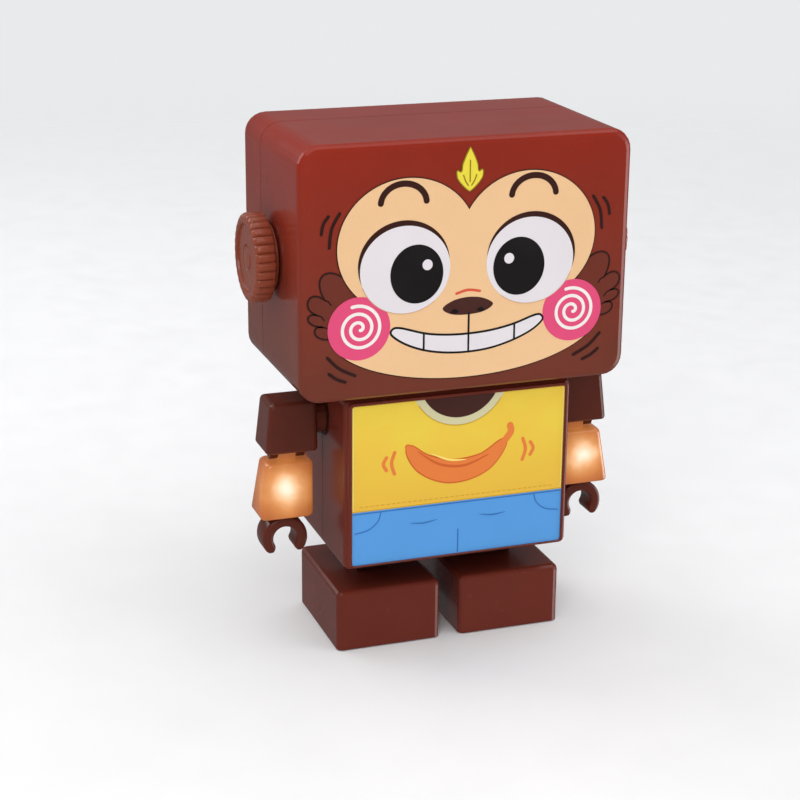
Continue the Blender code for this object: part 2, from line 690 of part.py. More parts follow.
CRANK_CENTRE = (0.0, CRANK_Z)
IDLER_CENTRE = beside(CRANK_CENTRE, IDLER_ANGLE_DEG, GEAR_DISTANCE)
MOTOR_CENTRE = beside(IDLER_CENTRE, MOTOR_ANGLE_DEG, GEAR_DISTANCE)
IDLER_Y = CRANK_Y - 0.8 - WHEEL_THICKNESS
PLATE_FRONT_Y = IDLER_Y - 0.8 - PLATE_THICKNESS
PLATE_REAR_Y = CRANK_Y + WHEEL_THICKNESS + 0.5
WHEEL_RADIUS = MODULE * (WHEEL_TEETH + 2) / 2
PILLAR_X = 9.5
PILLAR_SPREAD = 12.3
BOARD_X = TORSO_WIDTH / 2 - WALL - 1.0 - BOARD_WIDTH / 2
BOARD_Y = -14.0
BOARD_LOW = TORSO_BOTTOM + 11.0


def meshed_phase(phase, teeth, other_teeth, direction_deg):
    """The other gear's phase that puts a gap where this gear has a tooth."""
    pitch = 360.0 / teeth
    other_pitch = 360.0 / other_teeth
    return direction_deg + 180.0 - other_pitch * (0.5 - (direction_deg - phase) / pitch)


CRANK_PHASE = 0.0
IDLER_PINION_PHASE = meshed_phase(CRANK_PHASE, WHEEL_TEETH, PINION_TEETH, IDLER_ANGLE_DEG)
MOTOR_PHASE = meshed_phase(0.0, WHEEL_TEETH, PINION_TEETH, MOTOR_ANGLE_DEG)


def gear_outline(centre, teeth, phase_deg):
    """Straight-flanked teeth, thinned for backlash."""
    pitch_radius = MODULE * teeth / 2
    step = 2 * math.pi / teeth
    outline = []
    for tooth in range(teeth):
        middle = math.radians(phase_deg) + tooth * step
        for share, radius in ((-0.27, pitch_radius - 1.15 * MODULE), (-0.11, pitch_radius + 0.8 * MODULE),
                              (0.11, pitch_radius + 0.8 * MODULE), (0.27, pitch_radius - 1.15 * MODULE)):
            angle = middle + share * step
            outline.append((centre[0] + radius * math.cos(angle), centre[1] + radius * math.sin(angle)))
    return outline


def axle(centre, low, high, radius=AXLE_RADIUS):
    return cylinder(radius, (centre[0], 0.0, centre[1]), "Y", low, high)


def crank_gear():
    wheel = prism(gear_outline(CRANK_CENTRE, WHEEL_TEETH, CRANK_PHASE), "Y", CRANK_Y,
                  CRANK_Y + WHEEL_THICKNESS)
    journal = axle(CRANK_CENTRE, PLATE_FRONT_Y + GAP, CRANK_Y + 1.0)
    disc_end = CRANK_Y + WHEEL_THICKNESS + CRANK_DISC
    disc = axle(CRANK_CENTRE, CRANK_Y + 1.0, disc_end, CRANK_DISC_RADIUS)
    pin = axle((0.0, CRANK_Z + CRANK_THROW), disc_end - 1.0, POST_THICKNESS / 2 - GAP, CRANK_PIN_RADIUS)
    return join(wheel, journal, disc, pin)


def idler_gear():
    wheel = prism(gear_outline(IDLER_CENTRE, WHEEL_TEETH, 0.0), "Y", IDLER_Y, IDLER_Y + WHEEL_THICKNESS)
    pinion = prism(gear_outline(IDLER_CENTRE, PINION_TEETH, IDLER_PINION_PHASE), "Y", IDLER_Y + 1.0,
                   IDLER_Y + WHEEL_THICKNESS + PINION_THICKNESS)
    return join(wheel, pinion, axle(IDLER_CENTRE, PLATE_FRONT_Y + GAP, PLATE_REAR_Y + PLATE_THICKNESS - GAP))


def motor_pinion():
    pinion = prism(gear_outline(MOTOR_CENTRE, PINION_TEETH, MOTOR_PHASE), "Y", IDLER_Y - 0.3,
                   IDLER_Y + WHEEL_THICKNESS + 0.1)
    return cut(pinion, axle(MOTOR_CENTRE, IDLER_Y - 2.0, 0.0, MOTOR_SHAFT_RADIUS + GAP))


def motor():
    front = IDLER_Y + WHEEL_THICKNESS + 0.4
    x, z = MOTOR_CENTRE
    can = round_edges(block(x - MOTOR_WIDTH / 2, x + MOTOR_WIDTH / 2, front, front + MOTOR_LENGTH,
                            z - MOTOR_HEIGHT / 2, z + MOTOR_HEIGHT / 2), 2.0,
                      lambda a, b: abs(a.y - b.y) > 1.0, 3)
    return join(can, axle(MOTOR_CENTRE, IDLER_Y - 0.3, front + 1.0, MOTOR_SHAFT_RADIUS))


def gear_plate(low):
    """One side plate of the gearbox, seen square on it is a simple rectangle."""
    left = MOTOR_CENTRE[0] - MOTOR_WIDTH / 2
    return block(left, PILLAR_X + PILLAR_RADIUS, low, low + PLATE_THICKNESS,
                 CRANK_Z - PILLAR_SPREAD - PILLAR_RADIUS, CRANK_Z + PILLAR_SPREAD + PILLAR_RADIUS)


def gear_plate_front():
    plate = gear_plate(PLATE_FRONT_Y)
    for centre in gear_screws():
        pillar = cylinder(PILLAR_RADIUS, centre, "Y", PLATE_FRONT_Y + 0.5, PLATE_REAR_Y - GAP)
        plate = cut(join(plate, pillar), cylinder(SCREW_HOLE, centre, "Y", -30.0, 9.0))
    for centre in (CRANK_CENTRE, IDLER_CENTRE):
        plate = cut(plate, axle(centre, -30.0, 9.0, AXLE_RADIUS + GAP))
    return plate


def gear_plate_rear():
    plate = gear_plate(PLATE_REAR_Y)
    for centre in gear_screws():
        plate = cut(plate, cylinder(SCREW_HOLE, centre, "Y", -30.0, 9.0))
    x, z = MOTOR_CENTRE
    window = block(x - MOTOR_WIDTH, x + MOTOR_WIDTH / 2 + GAP, -30.0, 9.0,
                   z - MOTOR_HEIGHT / 2 - GAP, z + MOTOR_HEIGHT / 2 + GAP)
    return cut(plate, axle(CRANK_CENTRE, -30.0, 9.0, CRANK_DISC_RADIUS + GAP),
               axle(IDLER_CENTRE, -30.0, 9.0, AXLE_RADIUS + GAP), window)


def main_board():
    plate = block(BOARD_X - BOARD_WIDTH / 2, BOARD_X + BOARD_WIDTH / 2, BOARD_Y, BOARD_Y + BOARD_THICKNESS,
                  BOARD_LOW, BOARD_LOW + BOARD_HEIGHT)
    chip = block(BOARD_X - 3.5, BOARD_X + 3.5, BOARD_Y + 1.0, BOARD_Y + BOARD_THICKNESS + 1.6,
                 BOARD_LOW + 10.0, BOARD_LOW + 15.0)
    can = cylinder(2.5, (BOARD_X + 2.0, 0.0, BOARD_LOW + 20.5), "Y", BOARD_Y + 1.0, BOARD_Y + 8.0, 16)
    return join(plate, chip, can)


# Head ----------------------------------------------------------------------------

def head_box(inset, corner):
    front = HEAD_FRONT + inset
    rear = HEAD_REAR - inset
    shape = block(-HEAD_WIDTH / 2 + inset, HEAD_WIDTH / 2 - inset, front, rear,
                  HEAD_BOTTOM + inset, HEAD_TOP - inset)
    return round_edges(shape, corner, lambda a, b: abs(a.y - b.y) > 1.0, 6)


def head_wells():
    return [(x * HEAD_WELL_X, 0.0, HEAD_MIDDLE + z * HEAD_WELL_Z) for z in (-1, 1) for x in (-1, 1)]


def head_hollow():
    outer = head_box(0.0, HEAD_CORNER)
    for level in (HEAD_FRONT, HEAD_REAR):
        outer = round_edges(outer, HEAD_EDGE,
                            lambda a, b: abs(a.y - level) < 0.01 and abs(b.y - level) < 0.01)
    return cut(outer, head_box(WALL, HEAD_CORNER - WALL))


def head_front_shell():
    seam = HEAD_SEAM - GAP / 2
    shell = keep_inside(head_hollow(), block(-HEAD_WIDTH, HEAD_WIDTH, -90.0, seam, 0.0, 2 * HEAD_TOP))
    for centre in head_wells():
        shell = join(shell, cylinder(BOSS_RADIUS, centre, "Y", HEAD_FRONT + WALL / 2, seam))
        shell = cut(shell, cylinder(SCREW_HOLE, centre, "Y", -4.0, HEAD_SEAM + 1.0))
    knob = cylinder(KNOB_SHAFT_RADIUS + GAP, (0.0, 0.0, HEAD_MIDDLE), "X", -HEAD_WIDTH, HEAD_WIDTH)
    neck = cylinder(NECK_RADIUS + GAP, (0.0, NECK_Y, 0.0), "Z", HEAD_BOTTOM - 1.0, HEAD_BOTTOM + WALL + 1.0)
    return cut(shell, knob, neck)


def head_rear_shell():
    seam = HEAD_SEAM + GAP / 2
    shell = keep_inside(head_hollow(), block(-HEAD_WIDTH, HEAD_WIDTH, seam, 90.0, 0.0, 2 * HEAD_TOP))
    for centre in head_wells():
        well = cylinder(WELL_RADIUS + BOSS_WALL, centre, "Y", seam, HEAD_REAR - WALL / 2)
        shell = cut(join(shell, well), cylinder(WELL_RADIUS, centre, "Y", HEAD_WELL_FLOOR, HEAD_REAR + 1.0),
                    cylinder(SCREW_HOLE, centre, "Y", seam - 1.0, HEAD_WELL_FLOOR + 1.0))
    for index in range(GRILLE_SLOTS):
        offset = (index - (GRILLE_SLOTS - 1) / 2) * GRILLE_PITCH
        half = math.sqrt((SPEAKER_RADIUS - 3.0) ** 2 - offset ** 2)
        slot = block(-half, half, HEAD_REAR - WALL - 1.0, HEAD_REAR + 1.0,
                     HEAD_MIDDLE + offset - GRILLE_WIDTH / 2, HEAD_MIDDLE + offset + GRILLE_WIDTH / 2)
        shell = cut(shell, round_edges(slot, GRILLE_WIDTH * 0.45, lambda a, b: abs(a.y - b.y) > 1.0, 3))
    return cut(shell, grille_groove())


def grille_groove():
    """The ring that is sunk round the speaker's slots."""
    middle = (0.0, 0.0, HEAD_MIDDLE)
    radius = SPEAKER_RADIUS - 3.0 + GROOVE_SPACE
    low = HEAD_REAR - GROOVE_DEPTH
    outer = cylinder(radius + GROOVE_WIDTH / 2, middle, "Y", low, HEAD_REAR + 1.0, GROOVE_SIDES)
    return cut(outer, cylinder(radius - GROOVE_WIDTH / 2, middle, "Y", low - 1.0, HEAD_REAR + 2.0, GROOVE_SIDES))


def ray_exit(direction, centre_x, centre_z, width, height):
    """How far a ray from (0, JAW_Z / 2) runs before it leaves an ellipse, or 0 when it misses."""
    px = -centre_x / (width / 2)
    pz = (JAW_Z / 2 - centre_z) / (height / 2)
    dx = direction[0] / (width / 2)
    dz = direction[1] / (height / 2)
    a = dx * dx + dz * dz
    b = px * dx + pz * dz
    inside = b * b - a * (px * px + pz * pz - 1.0)
    return (-b + math.sqrt(inside)) / a if inside > 0 else 0.0


def face_outline():
    """Two round lobes over a wide jaw, which together make a heart-like mask."""
    outline = []
    for step in range(FACE_POINTS):
        angle = 2 * math.pi * step / FACE_POINTS
        direction = (math.cos(angle), math.sin(angle))
        reach = max(ray_exit(direction, -LOBE_X, LOBE_Z, LOBE_WIDTH, LOBE_HEIGHT),
                    ray_exit(direction, LOBE_X, LOBE_Z, LOBE_WIDTH, LOBE_HEIGHT),
                    ray_exit(direction, 0.0, JAW_Z, JAW_WIDTH, JAW_HEIGHT))
        outline.append((reach * direction[0], HEAD_MIDDLE + JAW_Z / 2 + reach * direction[1]))
    return outline


def face_label():
    rear = HEAD_FRONT - GAP
    return prism(face_outline(), "Y", rear - LABEL_THICKNESS, rear)


def neck_tube():
    floor = HEAD_BOTTOM + WALL + GAP
    centre = (0.0, NECK_Y, 0.0)
    profile = ((NECK_RADIUS, LEVER_BOTTOM - 0.6), (NECK_RADIUS, floor),
               (NECK_FLANGE_RADIUS, floor), (NECK_FLANGE_RADIUS, floor + NECK_FLANGE_HEIGHT))
    return cut(turned(profile, centre), cylinder(NECK_BORE, centre, "Z", 0.0, HEAD_TOP))


def head_lever():
    """A hub round the neck tube, and an arm whose slot takes the drive pin."""
    hub_radius = NECK_RADIUS + GAP + 2.0
    end = LEVER_REACH + LEVER_SLOT_LENGTH / 2
    half = LEVER_PIN_RADIUS + 0.5
    arm = block(-half - 1.5, half + 1.5, NECK_Y, NECK_Y + end + 1.5, LEVER_BOTTOM + 0.1, LEVER_TOP - 0.1)
    lever = join(cylinder(hub_radius, (0.0, NECK_Y, 0.0), "Z", LEVER_BOTTOM, LEVER_TOP), arm)
    slot = block(-half, half, NECK_Y + LEVER_REACH - LEVER_SLOT_LENGTH / 2, NECK_Y + end,
                 LEVER_BOTTOM - 1.0, LEVER_TOP + 1.0)
    return cut(lever, slot, cylinder(NECK_RADIUS + GAP, (0.0, NECK_Y, 0.0), "Z", LEVER_BOTTOM - 1.0,
                                     LEVER_TOP + 1.0))


def speaker():
    rear = HEAD_REAR - WALL - GAP
    levels = ((6.0, rear - SPEAKER_DEPTH), (6.0, rear - SPEAKER_DEPTH + 2.0), (SPEAKER_RADIUS, rear - 2.0),
              (SPEAKER_RADIUS, rear))
    return turned(levels, (0.0, 0.0, HEAD_MIDDLE), "Y", 32)


# Ear knobs -----------------------------------------------------------------------

def fluted_ring(radius, flute_depth):
    outline = []
    for flute in range(KNOB_FLUTES):
        for share, depth in ((0.0, 0.0), (0.55, 0.0), (0.78, flute_depth)):
            angle = 2 * math.pi * (flute + share) / KNOB_FLUTES
            outline.append(((radius - depth) * math.cos(angle), (radius - depth) * math.sin(angle)))
    return outline


def ear_knob(side):
    wall = HEAD_WIDTH / 2
    collar = wall + GAP
    inner = collar + KNOB_COLLAR
    outer = inner + KNOB_THICKNESS
    layers = ((inner, KNOB_RADIUS - KNOB_EDGE, 0.0), (inner + KNOB_EDGE, KNOB_RADIUS, KNOB_FLUTE_DEPTH),
              (outer - KNOB_EDGE, KNOB_RADIUS, KNOB_FLUTE_DEPTH), (outer, KNOB_RADIUS - KNOB_EDGE, 0.0))
    mesh = bmesh.new()
    rings = []
    for x, radius, depth in layers:
        ring = [mesh.verts.new((side * x, y, HEAD_MIDDLE + z)) for y, z in fluted_ring(radius, depth)]
        rings.append(ring)
    count = len(rings[0])
    for low, high in zip(rings, rings[1:]):
        for step in range(count):
            after = (step + 1) % count
            mesh.faces.new((low[step], low[after], high[after], high[step]))
    mesh.faces.new(rings[0][::-1])
    mesh.faces.new(rings[-1])
    shaft_end = wall - WALL - GAP - 2 * CLIP_THICKNESS
    groove = wall - WALL - GAP - CLIP_THICKNESS - GAP
    levels = ((KNOB_SHAFT_RADIUS, side * shaft_end), (KNOB_SHAFT_RADIUS, side * groove),
              (KNOB_SHAFT_RADIUS - KNOB_SHAFT_GROOVE, side * groove),
              (KNOB_SHAFT_RADIUS - KNOB_SHAFT_GROOVE, side * (wall - WALL)),
              (KNOB_SHAFT_RADIUS, side * (wall - WALL)), (KNOB_SHAFT_RADIUS, side * collar),
              (KNOB_COLLAR_RADIUS, side * collar), (KNOB_COLLAR_RADIUS, side * (inner + 1.0)))
    return join(faces_out(mesh), turned(levels, (0.0, 0.0, HEAD_MIDDLE), "X", BODY_SIDES))


def ear_clip(side):
    high = HEAD_WIDTH / 2 - WALL - GAP
    return retaining_clip(side, (0.0, 0.0, HEAD_MIDDLE), KNOB_SHAFT_RADIUS, high)


def retaining_clip(side, centre, shaft_radius, outer_x):
    """A split washer in the shaft's groove. Its opening faces down."""
    bore = shaft_radius - KNOB_SHAFT_GROOVE + GAP
    low = min(side * outer_x, side * (outer_x - CLIP_THICKNESS))
    high = max(side * outer_x, side * (outer_x - CLIP_THICKNESS))
    ring = washer(bore, shaft_radius + 1.6, centre, "X", low, high)
    mouth = block(low - 1.0, high + 1.0, centre[1] - bore * 0.8, centre[1] + bore * 0.8,
                  centre[2] - 2 * shaft_radius, centre[2])
    return cut(ring, mouth)


# Arms ----------------------------------------------------------------------------

ARM_Y = TORSO_SEAM


def arm_block(side, low, high, low_z, high_z):
    """A tapered block: low and high are (inner x, outer x, depth)."""
    rectangles = []
    for inner, outer, depth in (low, high):
        x0, x1 = sorted((side * inner, side * outer))
        rectangles.append((x0, x1, ARM_Y - depth / 2, ARM_Y + depth / 2))
    return tapered(rectangles[0], rectangles[1], low_z, high_z)


def upper_arm(side):
    """The block, the shoulder stub and shaft, and the two ears of the elbow."""
    arm = round_edges(arm_block(side, (ARM_LOW_INNER, ARM_LOW_OUTER, ARM_LOW_DEPTH),
                                (ARM_TOP_INNER, ARM_TOP_OUTER, ARM_TOP_DEPTH), ARM_BOTTOM, ARM_TOP),
                      ARM_EDGE, every_edge)
    wall = TORSO_WIDTH / 2
    shoulder = (0.0, ARM_Y, SHOULDER_Z)
    groove = wall - WALL - GAP - CLIP_THICKNESS - GAP
    shaft = SHOULDER_SHAFT_RADIUS
    levels = ((shaft, side * (groove - CLIP_THICKNESS + GAP)), (shaft, side * groove),
              (shaft - KNOB_SHAFT_GROOVE, side * groove), (shaft - KNOB_SHAFT_GROOVE, side * (wall - WALL)),
              (shaft, side * (wall - WALL)), (shaft, side * (wall + GAP)),
              (SHOULDER_RADIUS, side * (wall + GAP)), (SHOULDER_RADIUS, side * (ARM_TOP_INNER + 2.0)))
    arm = join(arm, turned(levels, shoulder, "X"))
    elbow = (0.0, ARM_Y, ELBOW_Z)
    inner = TONGUE_THICKNESS / 2 + GAP
    arm = cut(arm, cylinder(TONGUE_RADIUS + 2 * GAP, elbow, "X", side * ELBOW_X - inner,
                            side * ELBOW_X + inner))
    for end in (-1, 1):
        low, high = sorted((end * inner, end * (inner + EAR_THICKNESS)))
        low += side * ELBOW_X
        high += side * ELBOW_X
        arm = join(arm, tab(ARM_Y, ELBOW_Z, ARM_BOTTOM + 1.5, EAR_RADIUS, "X", low, high))
    reach = inner + EAR_THICKNESS + 1.0
    return cut(arm, cylinder(ELBOW_PIN_RADIUS + GAP, elbow, "X", side * ELBOW_X - reach,
                             side * ELBOW_X + reach, SCREW_SIDES))


def shoulder_clip(side):
    return retaining_clip(side, (0.0, ARM_Y, SHOULDER_Z), SHOULDER_SHAFT_RADIUS, TORSO_WIDTH / 2 - WALL - GAP)


def elbow_pin(side):
    reach = TONGUE_THICKNESS / 2 + GAP + EAR_THICKNESS - 0.2
    return cylinder(ELBOW_PIN_RADIUS, (0.0, ARM_Y, ELBOW_Z), "X", side * ELBOW_X - reach,
                    side * ELBOW_X + reach, SCREW_SIDES)


def lens_section(inset, z):
    """The lens' (inner x, outer x, depth) at a height, less a wall all round."""
    share = (LENS_TOP - z) / LENS_HEIGHT
    inner = LENS_TOP_INNER + share * (LENS_LOW_INNER - LENS_TOP_INNER) + inset
    outer = LENS_TOP_OUTER + share * (LENS_LOW_OUTER - LENS_TOP_OUTER) - inset
    return inner, outer, LENS_TOP_DEPTH + share * (LENS_LOW_DEPTH - LENS_TOP_DEPTH) - 2 * inset


def forearm_lens(side):
    """A clear hollow forearm, open underneath, with a solid tongue for the elbow."""
    lens = round_edges(arm_block(side, lens_section(0.0, LENS_BOTTOM), lens_section(0.0, LENS_TOP),
                                 LENS_BOTTOM, LENS_TOP), LENS_EDGE,
                       lambda a, b: max(a.z, b.z) > LENS_TOP - 1.0)
    elbow = (0.0, ARM_Y, ELBOW_Z)
    low = side * ELBOW_X - TONGUE_THICKNESS / 2
    high = side * ELBOW_X + TONGUE_THICKNESS / 2
    tongue = tab(ARM_Y, ELBOW_Z, LENS_TOP - 0.8, TONGUE_RADIUS, "X", low, high)
    lens = cut(join(lens, tongue), cylinder(ELBOW_PIN_RADIUS + GAP, elbow, "X", low - 1.0, high + 1.0, SCREW_SIDES))
    roof = LENS_TOP - LENS_WALL
    hollow = arm_block(side, lens_section(LENS_WALL, LENS_BOTTOM - 1.0), lens_section(LENS_WALL, roof),
                       LENS_BOTTOM - 1.0, roof)
    return cut(lens, hollow)


def wrist_plate(side):
    low = LENS_BOTTOM + 0.2
    high = low + WRIST_PLATE
    plate = arm_block(side, lens_section(LENS_WALL + GAP, low), lens_section(LENS_WALL + GAP, high), low, high)
    return cut(plate, cylinder(WRIST_PEG_RADIUS + GAP, (side * WRIST_X, ARM_Y, 0.0), "Z", low - 1.0, high + 1.0))


def led_board(side):
    """A small board on edge with one round lamp facing forward."""
    low = LENS_BOTTOM + WRIST_PLATE + 2.5
    middle = side * WRIST_X
    board = block(middle - 3.5, middle + 3.5, ARM_Y + 1.6, ARM_Y + 2.6, low, LENS_TOP - LENS_WALL - GAP)
    lamp = turned(((1.9, 2.0), (1.9, 0.0), (1.5, -1.2), (0.6, -1.9)), (middle, ARM_Y, low + 4.2), "Y", 16)
    return join(board, lamp)


def claw(side):
    """A C-shaped hand, open below, on a snap peg that lets it turn."""
    plate_low = LENS_BOTTOM + 0.2
    plate_high = plate_low + WRIST_PLATE
    top = plate_low - GAP
    middle = side * WRIST_X
    centre_z = top - CLAW_COLLAR - CLAW_RADIUS + 0.8
    outline = []
    steps = 14
    for radius, order in ((CLAW_RADIUS, 1), (CLAW_INNER_RADIUS, -1)):
        for step in range(steps + 1)[::order]:
            angle = math.radians(-90 + CLAW_OPENING_DEG + (360 - 2 * CLAW_OPENING_DEG) * step / steps)
            outline.append((middle + radius * math.cos(angle), centre_z + radius * math.sin(angle)))
    ring = round_edges(prism(outline, "Y", ARM_Y - CLAW_DEPTH / 2, ARM_Y + CLAW_DEPTH / 2), 0.5,
                       lambda a, b: abs(a.y - b.y) < 0.01, 1)
    profile = ((CLAW_COLLAR_RADIUS, top - CLAW_COLLAR - 1.0), (CLAW_COLLAR_RADIUS, top),
               (WRIST_PEG_RADIUS, top), (WRIST_PEG_RADIUS, plate_high + GAP),
               (WRIST_PEG_RADIUS + 0.9, plate_high + GAP), (WRIST_PEG_RADIUS + 0.3, plate_high + GAP + 1.2))
    return join(ring, turned(profile, (middle, ARM_Y, 0.0)))


# Assembly ------------------------------------------------------------------------

def build_base(paint):
    for side, word in ((-1, "left"), (1, "right")):
        place(word + "_foot_shell", foot_shell(side), paint["brown"])
        place(word + "_foot_cover", foot_cover(side), paint["dark"])
        place(word + "_foot_screw", screw((foot_middle(side), FOOT_SHIFT, 0.0), "Z", SCREW_HEAD_HEIGHT, 1.0,
                                          FOOT_SCREW_LENGTH), paint["steel"])
    place("leg_frame", leg_frame(), paint["dark"])


def build_torso(paint, torso):
    place("torso_front_shell", torso_front_shell(), paint["brown"], torso)
    place("torso_rear_shell", torso_rear_shell(), paint["brown"], torso)
    place("front_label", front_label(), paint["shirt"], torso)
    place("hip_pin", hip_pin(), paint["steel"], torso)
    for index, centre in enumerate(torso_wells(), 1):
        place("torso_screw_%d" % index, screw(centre, "Y", WELL_FLOOR + GAP, -1.0, 14.0),
              paint["steel"], torso)
    place("battery_tray", battery_tray(), paint["black"], torso)
    for index in range(CELL_COUNT):
        place("battery_cell_%d" % (index + 1), battery_cell(index), paint["cell"], torso)
    for side, word in ((-1, "left"), (1, "right")):
        place("battery_contacts_" + word, battery_contacts(side), paint["steel"], torso)
    place("gear_plate_front", gear_plate_front(), paint["nylon"], torso)
    place("gear_plate_rear", gear_plate_rear(), paint["nylon"], torso)
    for index, centre in enumerate(gear_screws(), 1):
        seat = PLATE_REAR_Y + PLATE_THICKNESS + GAP / 2
        place("gear_screw_%d" % index, screw(centre, "Y", seat, -1.0, 13.0), paint["steel"], torso)
    place("motor", motor(), paint["steel"], torso)
    place("main_board", main_board(), paint["board"], torso)
    place("switch_housing", switch_housing(), paint["black"], torso)


def build_drive(paint, torso):
    pieces = (("crank_gear", crank_gear, CRANK_CENTRE), ("idler_gear", idler_gear, IDLER_CENTRE),
              ("motor_pinion", motor_pinion, MOTOR_CENTRE))
    for name, shape, centre in pieces:
        pivot = pivot_at(name + "_axis", centre[0], CRANK_Y, centre[1])
        place(name, shape(), paint["nylon"], pivot)
        ride(pivot, torso)


def ride(pivot, parent):
    """Parent one joint's empty to another, with both left where they are."""
    pivot.location = pivot.location - parent_place(parent)
    pivot.parent = parent


def parent_place(parent):
    total = Vector((0.0, 0.0, 0.0))
    while parent:
        total += parent.location
        parent = parent.parent
    return total


def build_head(paint, head):
    place("head_front_shell", head_front_shell(), paint["brown"], head)
    place("head_rear_shell", head_rear_shell(), paint["brown"], head)
    place("face_label", face_label(), paint["skin"], head)
    place("neck_tube", neck_tube(), paint["dark"], head)
    place("head_lever", head_lever(), paint["nylon"], head)
    place("speaker", speaker(), paint["black"], head)
    for index, centre in enumerate(head_wells(), 1):
        place("head_screw_%d" % index, screw(centre, "Y", HEAD_WELL_FLOOR + GAP, -1.0, 14.0),
              paint["steel"], head)


def build_ears(paint, head):
    for side, word in ((-1, "left"), (1, "right")):
        ear = pivot_at(word + "_ear_axis", side * HEAD_WIDTH / 2, 0.0, HEAD_MIDDLE)
        place(word + "_ear_knob", ear_knob(side), paint["knob"], ear)
        place(word + "_ear_clip", ear_clip(side), paint["steel"], ear)
        ride(ear, head)


def build_arms(paint, torso):
    for side, word in ((-1, "left"), (1, "right")):
        shoulder = pivot_at(word + "_shoulder_axis", side * TORSO_WIDTH / 2, ARM_Y, SHOULDER_Z)
        elbow = pivot_at(word + "_elbow_axis", side * ELBOW_X, ARM_Y, ELBOW_Z)
        wrist = pivot_at(word + "_wrist_axis", side * WRIST_X, ARM_Y, LENS_BOTTOM)
        place(word + "_upper_arm", upper_arm(side), paint["brown"], shoulder)
        place(word + "_shoulder_clip", shoulder_clip(side), paint["steel"], shoulder)
        place(word + "_elbow_pin", elbow_pin(side), paint["steel"], shoulder)
        place(word + "_forearm_lens", forearm_lens(side), paint["amber"], elbow)
        place(word + "_led_board", led_board(side), paint["board"], elbow)
        place(word + "_wrist_plate", wrist_plate(side), paint["brown"], elbow)
        place(word + "_claw", claw(side), paint["brown"], wrist)
        ride(shoulder, torso)
        ride(elbow, shoulder)
        ride(wrist, elbow)


def build_rear_controls(paint, torso):
    slider = pivot_at("switch_axis", SWITCH_X, TORSO_REAR, SWITCH_Z)
    place("switch_slider", switch_slider(), paint["black"], slider)
    ride(slider, torso)
    door = pivot_at("battery_door_axis", 0.0, TORSO_REAR, DOOR_SCREW_Z)
    place("battery_door", battery_door(), paint["brown"], door)
    seat = TORSO_REAR - 0.9 + GAP / 2
    place("battery_door_screw", screw((0.0, 0.0, DOOR_SCREW_Z), "Y", seat, -1.0, 8.0), paint["steel"], door)
    ride(door, torso)


def main():
    for thing in list(bpy.data.objects):
        bpy.data.objects.remove(thing)
    paint = make_materials()
    torso = pivot_at("torso_axis", 0.0, 0.0, HIP_Z)
    head = pivot_at("head_axis", 0.0, NECK_Y, HEAD_BOTTOM)
    build_base(paint)
    build_torso(paint, torso)
    build_drive(paint, torso)
    build_head(paint, head)
    build_ears(paint, head)
    ride(head, torso)
    build_arms(paint, torso)
    build_rear_controls(paint, torso)


main()
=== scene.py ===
"""Looks for the dancing monkey robot: printed art, moulded plastics, lit forearms and small hardware.

Art and small pieces are drawn in millimetres, in the frame's own axes: x across, z up, the face looks along -Y.
"""
import math

import bmesh
import bpy
from mathutils import Matrix, Vector


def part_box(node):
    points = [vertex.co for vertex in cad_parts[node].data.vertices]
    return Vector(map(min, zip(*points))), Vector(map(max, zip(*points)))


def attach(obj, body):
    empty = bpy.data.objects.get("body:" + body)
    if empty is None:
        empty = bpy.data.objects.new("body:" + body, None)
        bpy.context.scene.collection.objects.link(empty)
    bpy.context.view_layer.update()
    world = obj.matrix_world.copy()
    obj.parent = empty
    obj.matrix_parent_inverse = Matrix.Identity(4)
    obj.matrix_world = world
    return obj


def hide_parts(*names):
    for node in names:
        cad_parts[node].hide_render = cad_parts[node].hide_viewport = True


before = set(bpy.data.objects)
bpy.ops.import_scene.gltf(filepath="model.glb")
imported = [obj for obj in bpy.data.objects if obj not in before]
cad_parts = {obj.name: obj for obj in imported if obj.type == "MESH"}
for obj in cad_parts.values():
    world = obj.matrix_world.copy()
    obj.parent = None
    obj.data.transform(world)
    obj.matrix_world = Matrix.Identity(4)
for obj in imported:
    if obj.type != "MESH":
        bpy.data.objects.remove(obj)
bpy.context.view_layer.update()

MM = 0.001
SIDES = ((-1, "left"), (1, "right"))


def mm_box(node):
    """A CAD node's lowest and highest corners in millimetres."""
    low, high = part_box(node)
    return Vector(low) / MM, Vector(high) / MM


HEAD_LOW, HEAD_HIGH = mm_box("head_front_shell")
HEAD_MIDDLE = (HEAD_LOW.z + HEAD_HIGH.z) / 2
TORSO_LOW, TORSO_HIGH = mm_box("torso_front_shell")
TORSO_REAR = mm_box("torso_rear_shell")[1].y
LABEL_LOW, LABEL_HIGH = mm_box("front_label")

# Camera: it looks down onto the toy's left front corner. Metres, degrees, and millimetres of lens
CAMERA_PLACE = (-0.189, -0.509, 0.249)
CAMERA_AZIMUTH = -19.4
CAMERA_ELEVATION = 18.5
CAMERA_ROLL = 0.5
CAMERA_LENS = 88.0
CAMERA_SENSOR = 36.0

# Sky: its strength as light, as seen behind the object, and as mirrored in it. Gloss also mirrors one bright
# panel, low on the right, for thin highlights along the edges. Two cosines say where the panel fades
SKY_COLOUR = (0.95, 0.96, 0.98, 1.0)
SKY_LIGHT = 0.4
SKY_SEEN = 0.86
SKY_MIRRORED = 0.2
PANEL_WAY = (0.911, -0.328, -0.25)
PANEL_EDGE = 0.87
PANEL_CORE = 0.985
PANEL_LIGHT = 5.0

# Floor, in metres: how far it is solid, where it has faded out, and how far it lies under the feet
FLOOR_SOLID = 0.3
FLOOR_RADIUS = 1.1
FLOOR_DROP = 0.0004

# Printing, in millimetres: the height of one level of ink, and how far the print stands off the shell
INK_STEP = 0.06
SHELL_GAP = 0.01

